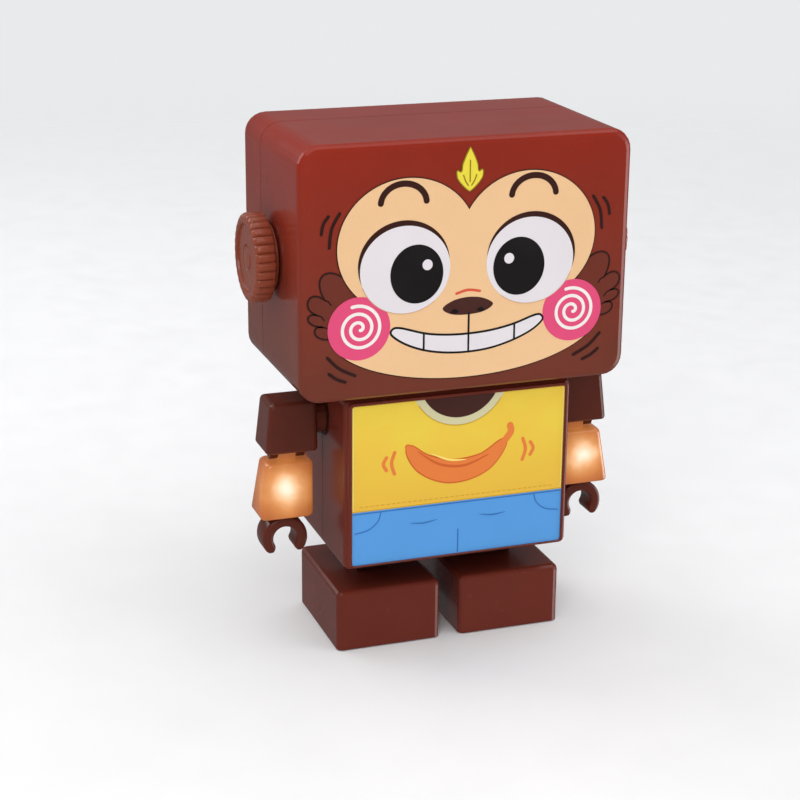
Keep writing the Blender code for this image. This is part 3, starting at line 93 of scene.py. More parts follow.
# Shading: edges sharper than this, in degrees, stay crisp
SHARP_DEG = 32.0
FRAME_SHARP_DEG = 34.0
ROUND_SHARP_DEG = 40.0


# ---- Camera, lights and floor

def make_camera():
    data = bpy.data.cameras.new("camera")
    data.lens = CAMERA_LENS
    data.sensor_width = CAMERA_SENSOR
    camera = bpy.data.objects.new("camera", data)
    bpy.context.scene.collection.objects.link(camera)
    turn = Matrix.Rotation(math.radians(CAMERA_AZIMUTH), 4, "Z")
    tilt = Matrix.Rotation(math.radians(90.0 - CAMERA_ELEVATION), 4, "X")
    roll = Matrix.Rotation(math.radians(CAMERA_ROLL), 4, "Z")
    camera.matrix_world = Matrix.Translation(CAMERA_PLACE) @ turn @ tilt @ roll
    bpy.context.scene.camera = camera


def area_light(name, place, target, size, watts, colour):
    data = bpy.data.lights.new(name, "AREA")
    data.shape = "RECTANGLE"
    data.size, data.size_y = size
    data.energy = watts
    data.color = colour
    light = bpy.data.objects.new(name, data)
    bpy.context.scene.collection.objects.link(light)
    way = Vector(target) - Vector(place)
    light.matrix_world = Matrix.Translation(place) @ way.to_track_quat("-Z", "Y").to_matrix().to_4x4()


def make_lights():
    white = (1.0, 1.0, 1.0)
    aim = (0.0, 0.0, 0.08)
    area_light("ceiling", (0.0, -0.3, 2.2), (0.0, -0.3, 0.0), (4.0, 4.0), 50.0, white)
    area_light("key", (-0.35, -0.7, 0.6), aim, (0.45, 0.45), 2.0, (1.0, 0.98, 0.95))
    area_light("fill", (0.7, -0.5, 0.35), aim, (0.5, 0.6), 0.9, (0.96, 0.98, 1.0))
    area_light("edge", (0.36, -0.42, 1.08), (0.0, -0.02, 0.14), (0.7, 0.06), 0.55, white)
    area_light("back", (-0.55, 0.6, 0.5), aim, (0.5, 0.5), 1.7, white)


def make_sky():
    world = bpy.data.worlds.new("studio")
    world.use_nodes = True
    tree = world.node_tree
    ray = tree.nodes.new("ShaderNodeLightPath")
    lit = remap(tree, ray.outputs["Is Camera Ray"], 0.0, 1.0, SKY_LIGHT, SKY_SEEN)
    way = tree.nodes.new("ShaderNodeTexCoord").outputs["Generated"]
    toward = operate(tree, "VectorMath", "DOT_PRODUCT", way, PANEL_WAY)
    mirrored_sky = remap(tree, toward, PANEL_EDGE, PANEL_CORE, SKY_MIRRORED, PANEL_LIGHT, "SMOOTHSTEP")
    choice = tree.nodes.new("ShaderNodeMix")
    feed(tree, choice, {0: ray.outputs["Is Glossy Ray"], 2: lit, 3: mirrored_sky})
    feed(tree, tree.nodes["Background"], {"Color": SKY_COLOUR, "Strength": choice.outputs[0]})
    bpy.context.scene.world = world
    bpy.context.scene.view_settings.view_transform = "Standard"


def make_floor():
    """A round sheet of pale paper that fades into the studio's white, and that gloss doesn't mirror."""
    mesh = bmesh.new()
    bmesh.ops.create_circle(mesh, cap_ends=True, segments=64, radius=FLOOR_RADIUS)
    bmesh.ops.translate(mesh, verts=mesh.verts, vec=(0.0, 0.0, -FLOOR_DROP))
    paper = plastic("floor_paper", (240, 240, 241), 0.7, drift=0.012, peel=0.0)
    tree = paper.node_tree
    away = operate(tree, "VectorMath", "LENGTH", tree.nodes.new("ShaderNodeTexCoord").outputs["Object"])
    fade = remap(tree, away, FLOOR_SOLID, FLOOR_RADIUS, 1.0, 0.0, "SMOOTHSTEP")
    feed(tree, tree.nodes["Principled BSDF"], {"Alpha": fade})
    floor = object_from("floor", mesh, [paper])
    floor.visible_glossy = False


# ---- Materials

def linear(value):
    value /= 255.0
    return value / 12.92 if value <= 0.04045 else ((value + 0.055) / 1.055) ** 2.4


def shade(colour, factor=1.0):
    return tuple(min(1.0, linear(value) * factor) for value in colour) + (1.0,)


def new_material(name):
    made = bpy.data.materials.new(name)
    made.use_nodes = True
    tree = made.node_tree
    return made, tree, tree.nodes["Principled BSDF"], tree.nodes.new("ShaderNodeTexCoord").outputs["Object"]


def feed(tree, node, values):
    """Link other nodes' outputs into a node's sockets, or set the sockets to constants."""
    for socket, value in values.items():
        if isinstance(value, bpy.types.NodeSocket):
            tree.links.new(value, node.inputs[socket])
        else:
            node.inputs[socket].default_value = value


def operate(tree, kind, operation, *values):
    """What a Math or VectorMath node makes of its inputs."""
    node = tree.nodes.new("ShaderNode" + kind)
    node.operation = operation
    feed(tree, node, dict(enumerate(values)))
    return node.outputs["Value"]


def noise(tree, place, scale, detail=3.0):
    node = tree.nodes.new("ShaderNodeTexNoise")
    feed(tree, node, {"Vector": place, "Scale": scale, "Detail": detail})
    return node.outputs["Fac"]


def remap(tree, value, low, high, to_low, to_high, kind="LINEAR"):
    node = tree.nodes.new("ShaderNodeMapRange")
    node.interpolation_type = kind
    feed(tree, node, {"Value": value, "From Min": low, "From Max": high, "To Min": to_low, "To Max": to_high})
    return node.outputs["Result"]


def patches(tree, place, scale, detail=3.0, most=1.0):
    """Soft patches that run from 0 to the most."""
    return remap(tree, noise(tree, place, scale, detail), 0.3, 0.7, 0.0, most)


def mix(tree, factor, first, second):
    node = tree.nodes.new("ShaderNodeMix")
    node.data_type = "RGBA"
    feed(tree, node, {0: factor, 6: first, 7: second})
    return node.outputs[2]


def rise(tree, place, levels):
    """0 below the first level and 1 above the second, in millimetres of height."""
    split = tree.nodes.new("ShaderNodeSeparateXYZ")
    tree.links.new(place, split.inputs["Vector"])
    return remap(tree, split.outputs["Z"], levels[0] * MM, levels[1] * MM, 0.0, 1.0)


def bump(tree, height, strength, distance):
    node = tree.nodes.new("ShaderNodeBump")
    feed(tree, node, {"Strength": strength, "Distance": distance, "Height": height})
    return node.outputs["Normal"]


def plastic(name, colour, roughness, coat=0.0, drift=0.08, peel=0.05, top=None, levels=None):
    """Moulded plastic: slow drift in its colour, orange peel, and handling marks in its gloss.

    With top and levels the colour turns into top between those two heights.
    """
    made, tree, shader, place = new_material(name)
    cloud = patches(tree, place, 28.0)
    base = mix(tree, cloud, shade(colour, 1.0 - drift), shade(colour, 1.0 + drift))
    if top:
        upper = mix(tree, cloud, shade(top, 1.0 - drift), shade(top, 1.0 + drift))
        base = mix(tree, rise(tree, place, levels), base, upper)
    specks = remap(tree, noise(tree, place, 2600.0, 1.0), 0.66, 0.74, 0.0, 0.35)
    marks = remap(tree, noise(tree, place, 75.0, 6.0), 0.35, 0.7, roughness * 0.8, roughness * 1.3)
    feed(tree, shader, {"Base Color": mix(tree, specks, base, shade(colour, 1.35)), "Roughness": marks,
                        "Specular IOR Level": 0.2, "Coat Weight": coat, "Coat Roughness": 0.1})
    if peel:
        feed(tree, shader, {"Normal": bump(tree, noise(tree, place, 1500.0, 2.0), peel, 0.00004)})
    return made


def ink(name, colour, roughness=0.36, top=None, levels=None):
    """Screen-printed ink: a faint dot grain and a little unevenness under a thin clear coat."""
    made, tree, shader, place = new_material(name)
    base = mix(tree, patches(tree, place, 5200.0, 1.0), shade(colour, 0.965), shade(colour, 1.03))
    if top:
        base = mix(tree, rise(tree, place, levels), base, shade(top))
    wash = patches(tree, place, 60.0, 4.0, 0.6)
    marks = remap(tree, noise(tree, place, 90.0, 6.0), 0.35, 0.7, roughness * 0.85, roughness * 1.3)
    feed(tree, shader, {"Base Color": mix(tree, wash, base, shade(colour, 1.06)), "Roughness": marks,
                        "Specular IOR Level": 0.16, "Coat Weight": 0.07, "Coat Roughness": 0.15,
                        "Normal": bump(tree, noise(tree, place, 2200.0, 2.0), 0.05, 0.00003)})
    return made


def metal(name, colour, roughness):
    """Plated metal with fine brushed streaks."""
    made, tree, shader, place = new_material(name)
    squeeze = tree.nodes.new("ShaderNodeMapping")
    feed(tree, squeeze, {"Vector": place, "Scale": (1.0, 1.0, 30.0)})
    streak = noise(tree, squeeze.outputs["Vector"], 400.0, 5.0)
    tone = remap(tree, streak, 0.3, 0.7, 0.0, 1.0)
    feed(tree, shader, {"Base Color": mix(tree, tone, shade(colour, 0.85), shade(colour, 1.1)), "Metallic": 1.0,
                        "Roughness": remap(tree, streak, 0.3, 0.7, roughness * 0.7, roughness * 1.4),
                        "Normal": bump(tree, streak, 0.08, 0.00003)})
    return made


def lit_amber(name, lamp):
    """Clear amber plastic that glows most where its wall is close to the lamp inside."""
    made, tree, shader, place = new_material(name)
    # The emission is painted light: a glow on the amber wall that stands in for the lamp's light shining through it.
    # It is brightest near the lamp and fades to dark at the edges.
    away = operate(tree, "VectorMath", "DISTANCE", place, [value * MM for value in lamp])
    swirl = remap(tree, noise(tree, place, 160.0), 0.3, 0.7, -0.0007, 0.0007)
    ramp = tree.nodes.new("ShaderNodeValToRGB")
    feed(tree, ramp, {"Fac": remap(tree, operate(tree, "Math", "ADD", away, swirl), 0.0018, 0.0125, 0.0, 1.0)})
    stops = ((0.0, (1.0, 0.94, 0.84, 1.0)), (0.15, (0.84, 0.62, 0.38, 1.0)), (0.34, (0.50, 0.25, 0.075, 1.0)),
             (0.64, (0.30, 0.10, 0.026, 1.0)), (1.0, (0.14, 0.042, 0.012, 1.0)))
    ramp.color_ramp.interpolation = "B_SPLINE"
    while len(ramp.color_ramp.elements) < len(stops):
        ramp.color_ramp.elements.new(0.5)
    for element, (position, colour) in zip(ramp.color_ramp.elements, stops):
        element.position = position
        element.color = colour
    base = mix(tree, patches(tree, place, 90.0, 4.0), shade((142, 74, 36)), shade((166, 92, 46)))
    feed(tree, shader, {"Emission Color": ramp.outputs["Color"], "Emission Strength": 1.0, "Base Color": base,
                        "Roughness": 0.16, "Transmission Weight": 0.2, "IOR": 1.5, "Coat Weight": 0.4,
                        "Normal": bump(tree, noise(tree, place, 900.0), 0.06, 0.00005)})
    return made


def glow(name, colour, strength):
    made, tree, shader, place = new_material(name)
    feed(tree, shader, {"Base Color": mix(tree, patches(tree, place, 700.0), shade(colour, 0.9), shade(colour)),
                        "Emission Color": shade(colour), "Emission Strength": strength})
    return made


def woven(name, colour, pitch):
    """A close square weave, for the cloth behind the speaker slots."""
    made, tree, shader, place = new_material(name)
    waves = []
    for direction in ("X", "Z"):
        wave = tree.nodes.new("ShaderNodeTexWave")
        wave.bands_direction = direction
        feed(tree, wave, {"Vector": place, "Scale": math.pi / (10.0 * pitch * MM)})
        waves.append(wave.outputs["Fac"])
    cross = operate(tree, "Math", "MULTIPLY", *waves)
    feed(tree, shader, {"Base Color": mix(tree, cross, shade(colour, 0.4), shade(colour, 1.6)), "Roughness": 0.85,
                        "Normal": bump(tree, cross, 0.5, 0.00015)})
    return made


# ---- Mesh helpers

def object_from(name, mesh, materials, sharp_deg=SHARP_DEG):
    data = bpy.data.meshes.new(name)
    mesh.to_mesh(data)
    mesh.free()
    for material in materials:
        data.materials.append(material)
    data.shade_smooth()
    data.set_sharp_from_angle(angle=math.radians(sharp_deg))
    thing = bpy.data.objects.new(name, data)
    bpy.context.scene.collection.objects.link(thing)
    return thing


def add_piece(name, mesh, materials, body, replaced=(), sharp_deg=SHARP_DEG):
    """Turn a mesh in millimetres into a shown piece that rides on a body."""
    bmesh.ops.recalc_face_normals(mesh, faces=mesh.faces)
    mesh.transform(Matrix.Scale(MM, 4))
    thing = object_from(name, mesh, materials, sharp_deg)
    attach(thing, body)
    if replaced:
        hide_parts(*replaced)


def skin_rings(mesh, rings, closed_loop=False):
    """Join rings of points with quads, and cap the ends or close the loop."""
    made = [[mesh.verts.new(point) for point in ring] for ring in rings]
    pairs = list(zip(made, made[1:]))
    if closed_loop:
        pairs.append((made[-1], made[0]))
    count = len(made[0])
    for low, high in pairs:
        for step in range(count):
            after = (step + 1) % count
            mesh.faces.new((low[step], low[after], high[after], high[step]))
    if not closed_loop:
        mesh.faces.new(made[0][::-1])
        mesh.faces.new(made[-1])


def unit_circle(count):
    angles = [2 * math.pi * step / count for step in range(count)]
    return [(math.cos(angle), math.sin(angle)) for angle in angles]


def round_curve(points, closed, per=8):
    """A smooth curve through the points (Catmull-Rom)."""
    count = len(points)
    spans = count if closed else count - 1
    curve = []
    for span in range(spans):
        if closed:
            four = [points[(span + shift) % count] for shift in (-1, 0, 1, 2)]
        else:
            four = [points[min(max(span + shift, 0), count - 1)] for shift in (-1, 0, 1, 2)]
        for step in range(per):
            t = step / per
            curve.append(tuple(
                0.5 * (2 * b + (c - a) * t + (2 * a - 5 * b + 4 * c - d) * t ** 2
                       + (3 * b - a - 3 * c + d) * t ** 3)
                for a, b, c, d in zip(*four)))
    if not closed:
        curve.append(points[-1])
    return curve


def ellipse(x, z, radius_x, radius_z, count=72, start=0.0, sweep=360.0):
    steps = count if sweep == 360.0 else count + 1
    points = []
    for step in range(steps):
        angle = math.radians(start + sweep * step / count)
        points.append((x + radius_x * math.cos(angle), z + radius_z * math.sin(angle)))
    return points


def bezier(a, b, c, d, steps=14):
    points = []
    for step in range(steps + 1):
        t = step / steps
        u = 1 - t
        points.append(tuple(u ** 3 * p + 3 * u * u * t * q + 3 * u * t * t * r + t ** 3 * s
                            for p, q, r, s in zip(a, b, c, d)))
    return points


def blend(start, middle, end, t):
    """A point of the curve that leaves start toward middle and ends at end."""
    return tuple((1 - t) ** 2 * a + 2 * t * (1 - t) * b + t * t * c for a, b, c in zip(start, middle, end))


def side_step(points, index, closed):
    """The unit normal of a path at a point, to its left."""
    count = len(points)
    if closed:
        before, after = points[(index - 1) % count], points[(index + 1) % count]
    else:
        before, after = points[max(index - 1, 0)], points[min(index + 1, count - 1)]
    dx, dz = after[0] - before[0], after[1] - before[1]
    length = math.hypot(dx, dz) or 1.0
    return -dz / length, dx / length


def offset(points, distance):
    """A closed outline moved outward (it runs anticlockwise)."""
    moved = []
    for index, (x, z) in enumerate(points):
        nx, nz = side_step(points, index, True)
        moved.append((x - nx * distance, z - nz * distance))
    return moved


def mirrored(points):
    return [(-x, z) for x, z in points]


def upright(points, side=-1):
    """A closed outline on the chosen side of the middle, turned to run anticlockwise."""
    if side > 0:
        points = mirrored(points)
    turn = sum(a[0] * b[1] - b[0] * a[1] for a, b in zip(points, points[1:] + points[:1]))
    return points if turn > 0 else points[::-1]


# ---- Printed art: flat inks stacked in thin steps on a shell's front

class Art:
    """One sheet of print. Inks sit in front of a base plane, each level a step further out."""

    def __init__(self, base_y, centre=(0.0, 0.0)):
        self.mesh = bmesh.new()
        self.base = base_y - SHELL_GAP
        self.centre = centre
        self.inks = []

    def index(self, material):
        if material not in self.inks:
            self.inks.append(material)
        return self.inks.index(material)

    def point(self, point, y):
        return self.mesh.verts.new((point[0] + self.centre[0], y, point[1] + self.centre[1]))

    def area(self, outline, level, material):
        """A filled outline."""
        outline = upright(outline)
        index = self.index(material)
        front = [self.point(point, self.base - INK_STEP * level) for point in outline]
        back = [self.point(point, self.base) for point in outline]
        faces = [self.mesh.faces.new(front), self.mesh.faces.new(back[::-1])]
        faces = bmesh.ops.triangulate(self.mesh, faces=faces)["faces"]
        count = len(outline)
        for step in range(count):
            after = (step + 1) % count
            faces.append(self.mesh.faces.new((front[step], front[after], back[after], back[step])))
        for face in faces:
            face.material_index = index

    def line(self, points, width, level, material, swell=None):
        """A stroke with round ends. swell is the share of its width at its ends, and how full it is (a power)."""
        half = width / 2
        stations = []
        last = len(points) - 1
        for step, point in enumerate(points):
            scale = 1.0
            if swell:
                scale = swell[0] + (1 - swell[0]) * math.sin(math.pi * step / last) ** swell[1]
            stations.append((point, side_step(points, step, False), half * scale))
        stations = self.round_end(stations[::-1])[::-1]
        self.strip(self.round_end(stations), level, self.index(material))

    @staticmethod
    def round_end(stations):
        """Stations past the last one that narrow in a half circle."""
        point, normal, half = stations[-1]
        before = stations[-2][0]
        dx, dz = point[0] - before[0], point[1] - before[1]
        length = math.hypot(dx, dz) or 1.0
        extra = []
        for step in range(1, 6):
            angle = math.radians(88.0) * step / 5
            reach = half * math.sin(angle)
            place = (point[0] + dx / length * reach, point[1] + dz / length * reach)
            extra.append((place, normal, half * math.cos(angle)))
        return stations + extra

    def strip(self, stations, level, index):
        front_y = self.base - INK_STEP * level
        rings = []
        for (x, z), (nx, nz), half in stations:
            left, right = (x + nx * half, z + nz * half), (x - nx * half, z - nz * half)
            rings.append([self.point(left, front_y), self.point(right, front_y),
                          self.point(right, self.base), self.point(left, self.base)])
        made = []
        for low, high in zip(rings, rings[1:]):
            for step in range(4):
                after = (step + 1) % 4
                made.append(self.mesh.faces.new((low[step], low[after], high[after], high[step])))
        made.append(self.mesh.faces.new(rings[0][::-1]))
        made.append(self.mesh.faces.new(rings[-1]))
        for face in made:
            face.material_index = index


# ---- The face

# Places in millimetres from the middle of the head's front: centre x, centre z, and one or two radii
LOBE = (17.5, 7.0, 20.0, 18.7)
JAW = (0.0, -15.6, 39.9, 15.9)
EYE = (18.2, 0.5, 12.9, 12.2)
PUPIL = (14.9, -0.9, 7.6, 8.2)
CHEEK = (31.3, -14.9, 8.9)
OVERLAP_STEP = 0.2         # part of a level between areas of one ink that overlap, so that no faces coincide


def draw_mask(art, inks):
    """Bare skin over its dark outline: two lobes and a wide jaw, which make a heart over an oval."""
    shapes = (LOBE, (-LOBE[0],) + LOBE[1:], JAW)
    for level, grow, name in ((2.0, 0.2, "hair_line"), (3.0, -0.08, "skin")):
        for index, (x, z, radius_x, radius_z) in enumerate(shapes):
            outline = ellipse(x, z, radius_x + grow, radius_z + grow, 110)
            art.area(outline, level + OVERLAP_STEP * index, inks[name])


def draw_eye(art, side, inks):
    """The white over a dark lid that shows along its top, a pupil turned to the nose, and a catch light."""
    x, z, radius_x, radius_z = EYE
    lid = ellipse(side * (x + 0.35), z + 1.45, radius_x + 0.2, radius_z + 0.05)
    art.area(lid, 4, inks["lid_brown"])
    art.area(ellipse(side * x, z, radius_x, radius_z), 5, inks["eye_white"])
    lower_edge = ellipse(side * x, z, radius_x + 0.05, radius_z + 0.05, 60, 230 if side > 0 else 200, 110)
    art.line(lower_edge, 0.2, 5, inks["soft_line"])
    art.area(ellipse(side * PUPIL[0], PUPIL[1], PUPIL[2], PUPIL[3]), 6, inks["black"])
    art.area(ellipse(side * 11.9, 1.5, 1.45, 1.5, 32), 7, inks["eye_white"])


def draw_cheek(art, side, inks):
    """A pink disc with one white spiral line, which unwinds clockwise to the upper left on both sides."""
    x, z, radius = CHEEK
    art.area(ellipse(side * x, z, radius, radius), 4, inks["pink"])
    turns = 2.45
    steps = 110
    spiral = []
    for step in range(steps + 1):
        share = step / steps
        angle = math.radians(108.0 - 360.0 * turns * share)
        reach = 6.5 * (1 - share) ** 0.9 + 0.55 * share
        spiral.append((side * x + reach * math.cos(angle), z + reach * math.sin(angle)))
    art.line(spiral, 0.92, 5, inks["white"])


def draw_grin(art, inks):
    upper = [(-21.7, -15.9), (-19.4, -15.75), (-12.2, -17.9), (-6.0, -18.8), (0.4, -19.0), (7.0, -18.6),
             (13.6, -17.4), (20.4, -15.3)]
    lower = [(22.3, -15.9), (22.1, -17.3), (19.0, -19.7), (13.9, -21.9), (7.4, -23.6), (0.4, -24.2),
             (-6.6, -23.8), (-12.9, -22.5), (-18.4, -20.2), (-22.0, -17.5)]
    mouth = round_curve((upper + lower)[::-1], True, 6)
    art.area(offset(mouth, 0.32), 4, inks["black"])
    art.area(offset(mouth, -0.30), 5, inks["eye_white"])
    for x, top, bottom in ((-12.7, -17.9, -22.5), (0.4, -18.9, -24.1), (14.0, -17.5, -21.8)):
        art.line([(x, top), (x, (top + bottom) / 2), (x, bottom)], 0.55, 6, inks["black"])
    art.line([(0.4, -13.2), (0.4, -16.0), (0.4, -18.9)], 0.55, 5, inks["black"])


def draw_nose(art, inks):
    nose = round_curve([(-7.3, -11.3), (-4.4, -9.3), (0.0, -8.55), (4.4, -9.1), (7.5, -11.0), (4.9, -12.9),
                        (0.2, -13.5), (-4.6, -13.1)][::-1], True, 8)
    art.area(nose, 4, inks["nose"])
    for side in (-1, 1):
        art.area(ellipse(side * 3.8 + 0.1, -12.35, 0.95, 0.6, 24), 5, inks["black"])
        art.line([(side * 5.0, -12.6), (side * 3.9, -11.75), (side * 2.7, -12.4)], 0.22, 6, inks["black"])
    art.line(round_curve([(-3.3, -7.35), (0.0, -6.55), (3.5, -7.1)], False, 8), 0.75, 4, inks["red"])


def draw_brow(art, side, inks):
    art.line(ellipse(side * 18.8, 18.7, 6.5, 5.5, 40, 5, 170), 1.7, 4, inks["lid_brown"])


def draw_ear(art, side, inks):
    """Tufts of hair beside the cheek: four bulges between anchors, from large to small."""
    root = (-31.5, -12.5)
    anchors = ((-31.8, -6.6), (-41.0, -6.1), (-42.9, -10.2), (-41.3, -13.6), (-39.4, -17.2))
    handles = (((-35.2, 4.0), (-46.2, 3.6)), ((-45.4, -2.2), (-48.0, -8.3)), ((-46.4, -8.8), (-47.2, -13.0)),
               ((-44.6, -12.4), (-45.2, -17.2)))
    outline = []
    for index, (first, second) in enumerate(handles):
        start, end = anchors[index:index + 2]
        lobe = bezier(start, first, second, end)
        outline += lobe if not outline else lobe[1:]
        art.area(upright(lobe + [root], side), 1.0 + OVERLAP_STEP * index, inks["hair"])
        if end != anchors[-1]:
            tail = [end, (end[0] + 1.0, end[1] - 0.4), (end[0] + 1.8, end[1] - 1.5)]
            art.line(tail if side < 0 else mirrored(tail), 0.42, 2, inks["hair_line"])
    art.line(outline if side < 0 else mirrored(outline), 0.5, 2, inks["hair_line"])


def draw_motion_lines(art, side, inks):
    strokes = ([(-39.8, 16.6), (-41.2, 14.6), (-41.8, 11.9)], [(-36.7, 17.2), (-38.9, 13.2), (-39.6, 8.1)],
               [(-40.2, -22.4), (-36.9, -25.7), (-32.4, -28.1)], [(-39.8, -27.0), (-37.7, -28.6), (-35.2, -29.7)])
    for stroke in strokes:
        path = round_curve(stroke if side < 0 else mirrored(stroke), False, 8)
        art.line(path, 0.86, 2, inks["hair_line"])


def draw_forelock(art, inks):
    """A leaf-shaped lock of fair hair above the brow, with a shorter lock at each side."""
    half = [(0.0, 20.9), (2.1, 22.2), (3.6, 24.6), (4.3, 27.6), (2.9, 26.4), (2.3, 25.8), (2.2, 28.2),
            (1.3, 30.8), (0.0, 33.0)]
    outline = []
    for points in (half, mirrored(half)[::-1]):
        for start, middle, end in zip(points[::2], points[1::2], points[2::2]):
            outline += [blend(start, middle, end, step / 6) for step in range(6)]
    art.area(offset(outline, 0.14), 3, inks["olive"])
    art.area(offset(outline, -0.16), 4, inks["yellow"])
    for side in (-1, 1):
        art.line([(side * 0.5, 22.6), (side * 1.3, 23.8), (side * 1.9, 25.4)], 0.34, 5, inks["olive"])
    art.line([(0.0, 23.6), (0.0, 26.0), (0.0, 29.4)], 0.34, 5, inks["olive"])


def make_face(inks):
    art = Art(HEAD_LOW.y, (0.0, HEAD_MIDDLE))
    for side in (-1, 1):
        draw_ear(art, side, inks)
        draw_motion_lines(art, side, inks)
    draw_mask(art, inks)
    for side in (-1, 1):
        draw_eye(art, side, inks)
        draw_brow(art, side, inks)
        draw_cheek(art, side, inks)
    draw_grin(art, inks)
    draw_nose(art, inks)
    draw_forelock(art, inks)
    add_piece("face_print", art.mesh, art.inks, "head", ("face_label",))


# ---- The shirt and trousers

SHIRT_HEIGHT = 33.5        # from the torso's top down to the waist
SHIRT_LEVELS = (TORSO_HIGH.z - SHIRT_HEIGHT, TORSO_HIGH.z - 12.0)     # where its colour turns lighter
STITCH_PITCH = 1.6
COLLAR_RISE = 4.0          # collar's centre above the torso
COLLAR_RADIUS = 14.6
COLLAR_WIDTH = 2.4
BEZEL_INSET = 0.9          # from the torso's sides
BEZEL_SINK = 0.7           # how far the rim's back lies under the shell's rounded edge
PRINT_TOP = LABEL_HIGH.z - 1.0


def collar_outline(radius, top, centre_z):
    """The part of a disc below a level, which runs anticlockwise."""
    half = math.degrees(math.asin((centre_z - top) / radius))
    return ellipse(0.0, centre_z, radius, radius, 40, 180.0 + half, 180.0 - 2 * half)


def make_front(inks):
    art = Art(TORSO_LOW.y)
    x = LABEL_HIGH.x
    top = PRINT_TOP
    waist = TORSO_HIGH.z - SHIRT_HEIGHT
    art.area([(-x, waist), (x, waist), (x, top), (-x, top)], 1, inks["shirt"])
    art.area([(-x, LABEL_LOW.z), (x, LABEL_LOW.z), (x, waist), (-x, waist)], 1, inks["trousers"])
    centre = TORSO_HIGH.z + COLLAR_RISE
    art.area(collar_outline(COLLAR_RADIUS, top, centre), 2, inks["cream"])
    art.area(collar_outline(COLLAR_RADIUS - COLLAR_WIDTH, top, centre), 3, inks["chest"])
    rim = ellipse(0.0, centre, COLLAR_RADIUS - 0.1, COLLAR_RADIUS - 0.1, 40, 212.0, 116.0)
    art.line(rim, 0.25, 3, inks["shirt_shade"])
    draw_shirt_edges(art, x, top, waist, inks)
    draw_banana(art, 0.0, waist + 13.6, inks)
    draw_trousers(art, x, waist, inks)
    add_piece("front_print", art.mesh, art.inks, "torso", ("front_label",))


def draw_shirt_edges(art, x, top, waist, inks):
    for side in (-1, 1):
        edge = side * (x - 0.35)
        art.line([(edge, waist + 0.5), (edge, (waist + top) / 2), (edge, top - 0.5)], 0.3, 2, inks["shirt_light"])
    art.line([(-x + 0.4, waist + 0.2), (0.0, waist + 0.2), (x - 0.4, waist + 0.2)], 0.3, 2, inks["shirt_shade"])
    for index in range(int((2 * x - 4.0) / STITCH_PITCH)):
        start = -x + 2.4 + index * STITCH_PITCH
        art.line([(start, waist + 1.5), (start + 0.4, waist + 1.5), (start + 0.8, waist + 1.5)], 0.2, 2,
                 inks["shirt_shade"])


def draw_banana(art, x, z, inks):
    """A banana drawn in tapered strokes, with two curved marks on each side."""
    body = round_curve([(x - 15.5, z + 4.4), (x - 10.5, z - 1.2), (x - 2.0, z - 4.3), (x + 7.5, z - 2.6),
                        (x + 14.0, z + 3.4)], False, 14)
    art.line(body, 7.4, 2, inks["orange_edge"], swell=(0.22, 0.7))
    art.line(body, 6.6, 3, inks["orange"], swell=(0.18, 0.7))
    art.line(round_curve([(x + 13.6, z + 3.0), (x + 15.6, z + 5.6), (x + 15.4, z + 7.6)], False, 6), 1.9, 3.4,
             inks["orange"])
    ridge = round_curve([(x - 12.4, z + 2.7), (x - 6.0, z - 1.7), (x + 1.5, z - 2.9), (x + 8.8, z - 0.4)],
                        False, 10)
    art.line(ridge, 0.75, 4, inks["orange_edge"], swell=(0.3, 1.0))
    shine = round_curve([(x - 8.5, z + 1.7), (x - 3.0, z - 0.7), (x + 2.0, z - 1.2)], False, 10)
    art.line(shine, 0.6, 4, inks["shirt_light"], swell=(0.3, 1.0))
    for side in (-1, 1):
        for reach, length in ((19.4, 3.2), (21.8, 1.9)):
            mark = round_curve([(x + side * reach, z + length), (x + side * (reach + 0.9), z),
                                (x + side * reach, z - length)], False, 8)
            art.line(mark, 1.0, 2, inks["orange"])


def draw_trousers(art, x, waist, inks):
    dark = inks["trouser_shade"]
    art.line([(-x + 0.4, waist - 0.5), (0.0, waist - 0.5), (x - 0.4, waist - 0.5)], 0.35, 2, dark)
    art.line([(0.0, waist - 8.8), (0.0, waist - 12.0), (0.0, LABEL_LOW.z + 0.5)], 0.4, 2, dark)
    for side in (-1, 1):
        crease = round_curve([(side * 6.5, waist - 4.9), (side * 10.5, waist - 5.5), (side * 14.5, waist - 5.1)],
                             False, 8)
        art.line(crease, 0.45, 2, dark, swell=(0.2, 1.0))
        pocket = round_curve([(side * 31.0, waist - 6.4), (side * 27.0, waist - 5.6), (side * 24.3, waist - 3.4),
                              (side * 23.4, waist - 0.9)], False, 8)
        art.line(pocket, 0.35, 2, dark)


def rounded_frame(low_x, high_x, low_z, high_z, radius, steps=6):
    """A rounded rectangle, anticlockwise."""
    points = []
    for x, z, start in ((high_x - radius, low_z + radius, -90), (high_x - radius, high_z - radius, 0),
                        (low_x + radius, high_z - radius, 90), (low_x + radius, low_z + radius, 180)):
        for step in range(steps + 1):
            angle = math.radians(start + 90 * step / steps)
            points.append((x + radius * math.cos(angle), z + radius * math.sin(angle)))
    return points


def make_bezel(brown):
    """The moulded rim that stands round the printed front and holds it."""
    outer = rounded_frame(TORSO_LOW.x + BEZEL_INSET, TORSO_HIGH.x - BEZEL_INSET, TORSO_LOW.z + BEZEL_INSET,
                          TORSO_HIGH.z - BEZEL_INSET, 1.5)
    inner = rounded_frame(LABEL_LOW.x, LABEL_HIGH.x, LABEL_LOW.z, PRINT_TOP - 0.1, 0.8)
    back = TORSO_LOW.y + BEZEL_SINK
    front = LABEL_LOW.y + 0.12
    sections = ((outer, back), (outer, front + 0.4), (offset(outer, -0.14), front + 0.12),
                (offset(outer, -0.4), front), (offset(inner, 0.2), front), (inner, front + 0.2), (inner, back))
    rings = [[(x, y, z) for x, z in outline] for outline, y in sections]
    mesh = bmesh.new()
    skin_rings(mesh, rings, closed_loop=True)
    add_piece("front_bezel", mesh, [brown], "torso")


# ---- Ears, arms and claws

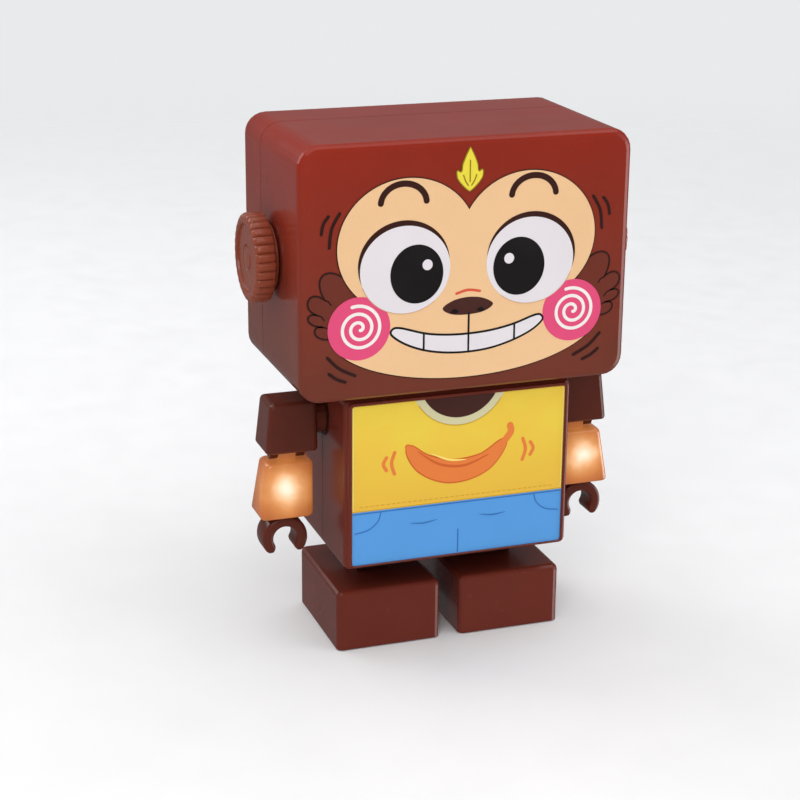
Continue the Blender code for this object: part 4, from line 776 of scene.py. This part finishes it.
KNOB_FLUTES = 30
KNOB_POINTS = 8            # points round each flute
KNOB_THICKNESS = 5.9
FLUTE_DEPTH = 0.75
FLUTE_WIDTH = 0.13         # share of a flute's pitch
ROUND_SIDES = 48


def make_ear_knob(side, word, material):
    """Collar and fluted knob, with a sunk round face. Its profile: x, radius, share of a flute's depth."""
    low, high = mm_box(word + "_ear_knob")
    outer = high.x if side > 0 else -low.x
    radius = (high.z - low.z) / 2
    wall = HEAD_HIGH.x
    inner = outer - KNOB_THICKNESS
    profile = ((wall - 5.0, 3.0, 0), (wall + 0.3, 3.0, 0), (wall + 0.3, 9.1, 0), (wall + 0.55, 9.5, 0),
               (inner - 0.1, 9.5, 0), (inner, 9.3, 0), (inner, radius - 1.2, 0.3), (inner + 0.35, radius - 0.35, 0.8),
               (inner + 0.9, radius, 1), (outer - 1.1, radius, 1), (outer - 0.45, radius - 0.3, 1),
               (outer - 0.1, radius - 1.0, 0.5), (outer, radius - 1.7, 0), (outer, radius - 2.5, 0),
               (outer - 0.15, radius - 2.8, 0), (outer - 0.7, radius - 3.0, 0), (outer - 0.75, radius - 3.3, 0),
               (outer - 0.6, 5.0, 0), (outer - 0.55, 3.9, 0), (outer - 0.85, 3.7, 0), (outer - 0.85, 3.3, 0),
               (outer - 0.45, 3.1, 0), (outer - 0.35, 1.5, 0), (outer - 0.32, 0.4, 0))
    points = KNOB_FLUTES * KNOB_POINTS
    rings = []
    for x, ring_radius, flute in profile:
        ring = []
        for step in range(points):
            share = (step % KNOB_POINTS) / KNOB_POINTS - 0.5
            groove = math.exp(-(share / FLUTE_WIDTH) ** 2)
            angle = 2 * math.pi * step / points
            reach = ring_radius - FLUTE_DEPTH * flute * groove
            ring.append((side * x, reach * math.cos(angle), HEAD_MIDDLE + reach * math.sin(angle)))
        rings.append(ring)
    mesh = bmesh.new()
    skin_rings(mesh, rings)
    add_piece(word + "_ear_knob_shape", mesh, [material], word + "_ear", (word + "_ear_knob",),
              ROUND_SHARP_DEG)


def rounded_section(x0, x1, y0, y1, radius, z):
    """A level rounded rectangle."""
    radius = min(radius, (x1 - x0) / 2 - 0.01, (y1 - y0) / 2 - 0.01)
    return [(x, y, z) for x, y in rounded_frame(x0, x1, y0, y1, radius, 5)]


def tapered_sections(low, high, z0, z1, corner):
    """Sections up a tapered block whose ends are rounded by quarter circles."""
    sections = []
    for step in range(5):
        angle = math.radians(90.0 * step / 4)
        sections.append((z0 + corner * (1 - math.cos(angle)), corner * (1 - math.sin(angle))))
    for share in (0.3, 0.5, 0.7):
        sections.append((z0 + (z1 - z0) * share, 0.0))
    for step in range(5):
        angle = math.radians(90.0 * step / 4)
        sections.append((z1 - corner * (1 - math.sin(angle)), corner * (1 - math.cos(angle))))
    rings = []
    for z, pull in sections:
        share = (z - z0) / (z1 - z0)
        x0, x1, y0, y1 = [a + (b - a) * share for a, b in zip(low, high)]
        rings.append(rounded_section(x0 + pull, x1 - pull, y0 + pull, y1 - pull, corner + 0.3 - pull * 0.6, z))
    return rings


def foot_rectangle(node):
    """The rectangle (x0, x1, y0, y1) of a CAD block's sides at its bottom."""
    low, high = mm_box(node)
    reach = (high.z - low.z) * 0.02
    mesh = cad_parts[node].data
    near = [vertex.co / MM for vertex in mesh.vertices if abs(vertex.co.z / MM - low.z) < reach]
    return (min(v.x for v in near), max(v.x for v in near), min(v.y for v in near), max(v.y for v in near))


LENS_ROOF_X = (38.0, 51.9)     # the lens' inner and outer side at its top
LENS_ROOF_HALF = 4.5           # half its depth there
LENS_ROOF_DROP = 2.1           # its top below the elbow's axis
LENS_WALL = 1.3
TONGUE_HALF = 2.5              # half the tongue's thickness
TONGUE_RADIUS = 1.6
TONGUE_EDGE = 0.25
PIN_BORE = 0.78


def make_lens(side, word, material):
    """The clear forearm: two skins joined round the open bottom, and a tongue bored for the elbow pin."""
    node = word + "_forearm_lens"
    floor = mm_box(node)[0].z
    pin_low, pin_high = mm_box(word + "_elbow_pin")
    elbow = (pin_low + pin_high) / 2
    top = elbow.z - LENS_ROOF_DROP
    bottom = foot_rectangle(node)
    roof = sorted(side * x for x in LENS_ROOF_X)
    upper = (roof[0], roof[1], elbow.y - LENS_ROOF_HALF, elbow.y + LENS_ROOF_HALF)
    outer = tapered_sections(bottom, upper, floor, top, LENS_WALL)
    walls = (LENS_WALL, -LENS_WALL, LENS_WALL, -LENS_WALL)
    inner = []
    for step in range(7):
        share = step / 6
        x0, x1, y0, y1 = [a + wall + (b - a) * share for a, b, wall in zip(bottom, upper, walls)]
        inner.append(rounded_section(x0, x1, y0, y1, 0.8, floor + (top - LENS_WALL - floor) * share))
    mesh = bmesh.new()
    skin_rings(mesh, inner[::-1] + outer)
    skin_rings(mesh, tongue_rings(elbow, top - 0.6 - elbow.z), closed_loop=True)
    add_piece(word + "_forearm_shell", mesh, [material], word + "_forearm", (node,), ROUND_SHARP_DEG)


def tongue_rings(elbow, foot):
    """Sections of the tongue, from face to face along its outside and back through its bore."""
    radius = TONGUE_RADIUS
    arc = [(radius * math.cos(math.radians(15 * step)), radius * math.sin(math.radians(15 * step)))
           for step in range(13)]
    outline = ([(radius, foot), (radius, foot / 2)] + arc + [(-radius, foot / 2), (-radius, foot)]
               + [(share * radius, foot) for share in (-0.5, 0.0, 0.5)])
    rings = []
    for x, pull in ((-TONGUE_HALF, TONGUE_EDGE), (-TONGUE_HALF + TONGUE_EDGE, 0.0),
                    (TONGUE_HALF - TONGUE_EDGE, 0.0), (TONGUE_HALF, TONGUE_EDGE)):
        scale = 1.0 - pull / radius
        rings.append([(elbow.x + x, elbow.y + y * scale, elbow.z + z * scale) for y, z in outline])
    bore = [(y * PIN_BORE / math.hypot(y, z), z * PIN_BORE / math.hypot(y, z)) for y, z in outline]
    for x in (TONGUE_HALF, -TONGUE_HALF):
        rings.append([(elbow.x + x, elbow.y + y, elbow.z + z) for y, z in bore])
    return rings


CLAW_INNER_RADIUS = 3.5
CLAW_OPENING_DEG = 42.0        # half the gap between the tips
CLAW_STEPS = 44
CLAW_TIP_STEPS = 3.0           # steps over which each tip narrows


def make_claw(word, material):
    """A C-shaped hand with a soft-edged section and blunt tips, under a ribbed wrist collar."""
    low, high = mm_box(word + "_claw")
    x = (low.x + high.x) / 2
    y = (low.y + high.y) / 2
    radius = (high.x - low.x) / 2
    wrist = mm_box(word + "_forearm_lens")[0].z
    centre_z = wrist - 0.1 - radius
    middle = (radius + CLAW_INNER_RADIUS) / 2
    half_thick = (radius - CLAW_INNER_RADIUS) / 2
    half_deep = (high.y - low.y) / 2
    section = rounded_frame(-half_thick, half_thick, -half_deep, half_deep, 0.9, 4)
    rings = []
    for step in range(CLAW_STEPS + 1):
        share = step / CLAW_STEPS
        angle = math.radians(-90 + CLAW_OPENING_DEG + (360 - 2 * CLAW_OPENING_DEG) * share)
        tip = min(share, 1 - share) * CLAW_STEPS / CLAW_TIP_STEPS
        scale = 1.0 if tip >= 1 else 0.35 + 0.65 * math.sqrt(max(0.0, 1 - (1 - tip) ** 2))
        ring = []
        for thick, deep in section:
            reach = middle + thick * scale
            ring.append((x + reach * math.cos(angle), y + deep * (0.86 + 0.14 * scale),
                         centre_z + reach * math.sin(angle)))
        rings.append(ring)
    mesh = bmesh.new()
    skin_rings(mesh, rings)
    levels = ((1.5, wrist + 4.0), (1.5, wrist - 0.1), (3.2, wrist - 0.1), (3.6, wrist - 0.35), (3.6, wrist - 0.8),
              (3.2, wrist - 0.95), (3.2, wrist - 1.2), (3.6, wrist - 1.35), (3.6, wrist - 1.8), (2.6, wrist - 2.6))
    skin_rings(mesh, [[(x + r * u, y + r * v, z) for u, v in unit_circle(32)] for r, z in levels])
    add_piece(word + "_claw_shape", mesh, [material], word + "_claw", (word + "_claw",),
              ROUND_SHARP_DEG)


def make_lamp(word, lamp_light):
    """The lamp's dome and base, standing off its board inside the forearm."""
    low, high = mm_box(word + "_led_board")
    x = (low.x + high.x) / 2
    z = low.z + 4.2
    rings = []
    for radius, y in ((2.05, 3.75), (2.05, 2.45), (1.8, 2.35), (1.8, 1.05), (1.5, 0.35), (1.0, -0.03),
                      (0.3, -0.15)):
        rings.append([(x + radius * u, low.y + y, z + radius * v) for u, v in unit_circle(20)])
    mesh = bmesh.new()
    skin_rings(mesh, rings)
    add_piece(word + "_lamp_dome", mesh, [lamp_light], word + "_forearm")


# ---- Hardware and the back

RECESS_HALF = 0.34             # half the width of the cross's arms
RECESS_REACH = 1.15
RECESS_DEPTH = 0.75
RECESS_TAPER = 0.55
SWITCH_TRAVEL = 3.0
CLOTH_RADIUS = 12.6
SHOULDER_DROP = 10.5           # shoulder axis below the torso's top


def make_screw(node, body, direction, material):
    """A pan head with a cross recess, and a threaded shank, drawn along Z and turned to the direction."""
    low, high = mm_box(node)
    centre = (low + high) / 2
    radius = (high.x - low.x) / 2
    length = (high - low).dot(Vector(abs(v) for v in direction))
    arms = []
    for quarter in range(4):
        angle = math.radians(90 * quarter)
        for u, v in ((RECESS_HALF, RECESS_REACH), (-RECESS_HALF, RECESS_REACH), (-RECESS_HALF, RECESS_HALF)):
            arms.append((u * math.cos(angle) - v * math.sin(angle), u * math.sin(angle) + v * math.cos(angle)))
    order = [math.atan2(v, u) for u, v in arms]
    rings = [[(u * size, v * size, z) for u, v in arms] for size, z in ((RECESS_TAPER, -RECESS_DEPTH), (1.0, 0.0))]
    levels = [(radius * 0.68, 0.0), (radius * 0.9, -0.2), (radius, -0.5), (radius, -1.4), (1.0, -1.4)]
    depth = -1.6
    while depth > -length + 1.2:
        levels += [(0.8, depth), (1.0, depth - 0.25)]
        depth -= 0.5
    levels.append((0.4, -length))
    for reach, z in levels:
        rings.append([(reach * math.cos(angle), reach * math.sin(angle), z) for angle in order])
    mesh = bmesh.new()
    skin_rings(mesh, rings)
    top = Vector(direction)
    head = Vector([high[i] if top[i] > 0 else low[i] if top[i] < 0 else centre[i] for i in range(3)])
    mesh.transform(Matrix.Translation(head) @ top.to_track_quat("Z", "Y").to_matrix().to_4x4())
    add_piece(node + "_shape", mesh, [material], body, (node,))


def make_all_screws(steel):
    for number in range(1, 5):
        make_screw("head_screw_%d" % number, "head", (0, 1, 0), steel)
    for number in (1, 2):
        make_screw("torso_screw_%d" % number, "torso", (0, 1, 0), steel)
    make_screw("battery_door_screw", "door", (0, 1, 0), steel)
    for _, word in SIDES:
        make_screw(word + "_foot_screw", "base", (0, 0, -1), steel)


def raised_bar(mesh, x0, x1, z0, z1, back, front, corner=0.3):
    """A small rounded bar that stands off a rear face."""
    outline = rounded_frame(x0, x1, z0, z1, corner, 4)
    inner = offset(outline, -0.12)
    skin_rings(mesh, [[(x, back, z) for x, z in outline], [(x, front - 0.12, z) for x, z in outline],
                      [(x, front, z) for x, z in inner]])


def make_door_ridges(brown):
    door_low, door_high = mm_box("battery_door")
    mesh = bmesh.new()
    for index in range(5):
        z = door_high.z - 4.0 - 1.5 * index
        half = 7.5 - 0.7 * index
        raised_bar(mesh, -half, half, z - 0.3, z + 0.3, door_high.y - 0.05, door_high.y + 0.45)
    for side in (-1, 1):
        raised_bar(mesh, side * 17.0 - 0.3, side * 17.0 + 0.3, door_low.z + 10.0, door_high.z - 4.0,
                   door_high.y - 0.05, door_high.y + 0.25)
    add_piece("battery_door_ridges", mesh, [brown], "door")


def make_switch_details(brown, black):
    """Ridges on the slider, and a frame round the slot that it moves in."""
    slider_low, slider_high = mm_box("switch_slider")
    mesh = bmesh.new()
    for shift in (-1.0, 0.0, 1.0):
        x = (slider_low.x + slider_high.x) / 2 + shift
        raised_bar(mesh, x - 0.22, x + 0.22, slider_low.z + 0.3, slider_high.z - 0.3, slider_high.y - 0.05,
                   slider_high.y + 0.3, 0.15)
    add_piece("switch_ridges", mesh, [black], "switch")
    mesh = bmesh.new()
    low_x = slider_low.x - 1.8
    high_x = slider_high.x + SWITCH_TRAVEL + 1.8
    outer = rounded_frame(low_x, high_x, slider_low.z - 1.5, slider_high.z + 1.5, 1.2)
    inner = rounded_frame(low_x + 1.1, high_x - 1.1, slider_low.z - 0.5, slider_high.z + 0.5, 0.5)
    back, front = TORSO_REAR - 0.05, TORSO_REAR + 0.4
    skin_rings(mesh, [[(x, back, z) for x, z in outer], [(x, front, z) for x, z in offset(outer, -0.2)],
                      [(x, front, z) for x, z in offset(inner, 0.15)], [(x, back, z) for x, z in inner]],
               closed_loop=True)
    add_piece("switch_surround", mesh, [brown], "torso")


def make_speaker_cloth(cloth):
    """A thin disc of cloth just behind the speaker slots."""
    speaker_rear = mm_box("speaker")[1].y
    rings = []
    for radius, y in ((CLOTH_RADIUS, 0.05), (CLOTH_RADIUS + 0.2, 0.12), (CLOTH_RADIUS, 0.2)):
        rings.append([(radius * u, speaker_rear + y, HEAD_MIDDLE + radius * v) for u, v in unit_circle(ROUND_SIDES)])
    mesh = bmesh.new()
    skin_rings(mesh, rings)
    add_piece("speaker_cloth", mesh, [cloth], "head")


def make_shoulder_washers(dark):
    for side, word in SIDES:
        low, high = mm_box(word + "_shoulder_clip")
        y, z = (low.y + high.y) / 2, TORSO_HIGH.z - SHOULDER_DROP
        wall = TORSO_HIGH.x
        rings = []
        for x, radius in ((wall + 0.05, 5.6), (wall + 0.05, 6.1), (wall + 0.18, 6.25), (wall + 0.27, 6.1),
                          (wall + 0.27, 5.6)):
            rings.append([(side * x, y + radius * u, z + radius * v) for u, v in unit_circle(ROUND_SIDES)])
        mesh = bmesh.new()
        skin_rings(mesh, rings, closed_loop=True)
        add_piece(word + "_shoulder_washer", mesh, [dark], "torso")


# ---- Paint for the CAD nodes that stay

def paint(node, material):
    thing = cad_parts[node]
    thing.data.materials.clear()
    thing.data.materials.append(material)
    thing.data.shade_smooth()
    thing.data.set_sharp_from_angle(angle=math.radians(FRAME_SHARP_DEG))
    flat = thing.modifiers.new("flat_faces", "WEIGHTED_NORMAL")
    flat.keep_sharp = True


FACE_INKS = {
    "skin": (242, 198, 150), "lid_brown": (58, 28, 22), "black": (26, 23, 23), "eye_white": (232, 226, 230),
    "white": (246, 240, 236), "pink": (230, 80, 125), "nose": (74, 40, 34), "red": (222, 90, 66),
    "hair": (112, 50, 38), "hair_line": (52, 26, 22), "soft_line": (226, 170, 124), "yellow": (240, 222, 70),
    "olive": (150, 128, 34), "cream": (214, 208, 166), "chest": (70, 38, 32), "orange": (234, 128, 62),
    "orange_edge": (212, 100, 44),
}
CLOTHES_INKS = {
    "shirt_light": (250, 228, 120), "shirt_shade": (206, 164, 46), "trousers": (88, 158, 226),
    "trouser_shade": (56, 116, 186),
}
CLOTHES_ROUGHNESS = 0.38


def make_inks():
    inks = {name: ink("ink_" + name, colour) for name, colour in FACE_INKS.items()}
    for name, colour in CLOTHES_INKS.items():
        inks[name] = ink("ink_" + name, colour, CLOTHES_ROUGHNESS)
    inks["shirt"] = ink("ink_shirt", (236, 188, 66), CLOTHES_ROUGHNESS, (243, 212, 74), SHIRT_LEVELS)
    return inks


def paint_frame(stuff):
    """Give every CAD node that stays in view its material."""
    table = {
        "brown_gloss": ("torso_front_shell", "torso_rear_shell", "battery_door"),
        "head_gloss": ("head_front_shell", "head_rear_shell"),
        "dark": ("leg_frame", "neck_tube"),
        "steel": ("hip_pin", "motor", "gear_screw_1", "gear_screw_2", "battery_contacts_left",
                  "battery_contacts_right"),
        "black": ("battery_tray", "switch_housing", "switch_slider", "speaker"),
        "nylon": ("gear_plate_front", "gear_plate_rear", "crank_gear", "idler_gear", "motor_pinion", "head_lever"),
        "cell": ("battery_cell_1", "battery_cell_2", "battery_cell_3"),
        "board": ("main_board",),
    }
    for material, nodes in table.items():
        for node in nodes:
            paint(node, stuff[material])
    for _, word in SIDES:
        for part, material in (("_foot_shell", "brown_gloss"), ("_foot_cover", "dark"), ("_upper_arm", "arm"),
                               ("_wrist_plate", "arm"), ("_shoulder_clip", "steel"), ("_ear_clip", "steel"),
                               ("_elbow_pin", "steel"), ("_led_board", "board")):
            paint(word + part, stuff[material])


def make_stuff():
    return {
        # The head turns redder toward its top. This is partly the plastic's own tone and partly painted light: the
        # top is painted as lit more than the bottom.
        "head_gloss": plastic("head_plastic", (116, 56, 42), 0.2, 0.25, top=(146, 42, 26),
                              levels=(HEAD_LOW.z + 8.0, HEAD_HIGH.z - 4.0)),
        "brown_gloss": plastic("shell_plastic", (108, 44, 32), 0.22, 0.25),
        "arm": plastic("arm_plastic", (94, 42, 30), 0.2, 0.25),
        "knob": plastic("knob_plastic", (142, 68, 47), 0.25, 0.35, peel=0.2),
        "dark": plastic("dark_plastic", (58, 30, 25), 0.4),
        "black": plastic("black_plastic", (30, 29, 31), 0.45),
        "nylon": plastic("nylon_plastic", (226, 221, 206), 0.42),
        "cell": plastic("cell_sleeve", (62, 70, 84), 0.28, 0.3),
        "board": plastic("circuit_board", (28, 92, 54), 0.35, 0.2),
        "steel": metal("zinc_steel", (186, 187, 190), 0.3),
        "cloth": woven("speaker_weave", (34, 33, 35), 0.6),
        "lamp": glow("lamp_light", (255, 214, 150), 6.0),
    }


def main():
    make_camera()
    make_lights()
    make_sky()
    make_floor()
    stuff = make_stuff()
    inks = make_inks()
    paint_frame(stuff)
    make_face(inks)
    make_front(inks)
    make_bezel(stuff["brown_gloss"])
    make_all_screws(stuff["steel"])
    make_door_ridges(stuff["brown_gloss"])
    make_switch_details(stuff["brown_gloss"], stuff["black"])
    make_speaker_cloth(stuff["cloth"])
    make_shoulder_washers(stuff["dark"])
    for side, word in SIDES:
        make_ear_knob(side, word, stuff["knob"])
        board_low, board_high = mm_box(word + "_led_board")
        lamp = ((board_low.x + board_high.x) / 2, board_low.y - 1.2, board_low.z + 4.0)
        make_lens(side, word, lit_amber(word + "_amber", lamp))
        make_lamp(word, stuff["lamp"])
        make_claw(word, stuff["arm"])


main()
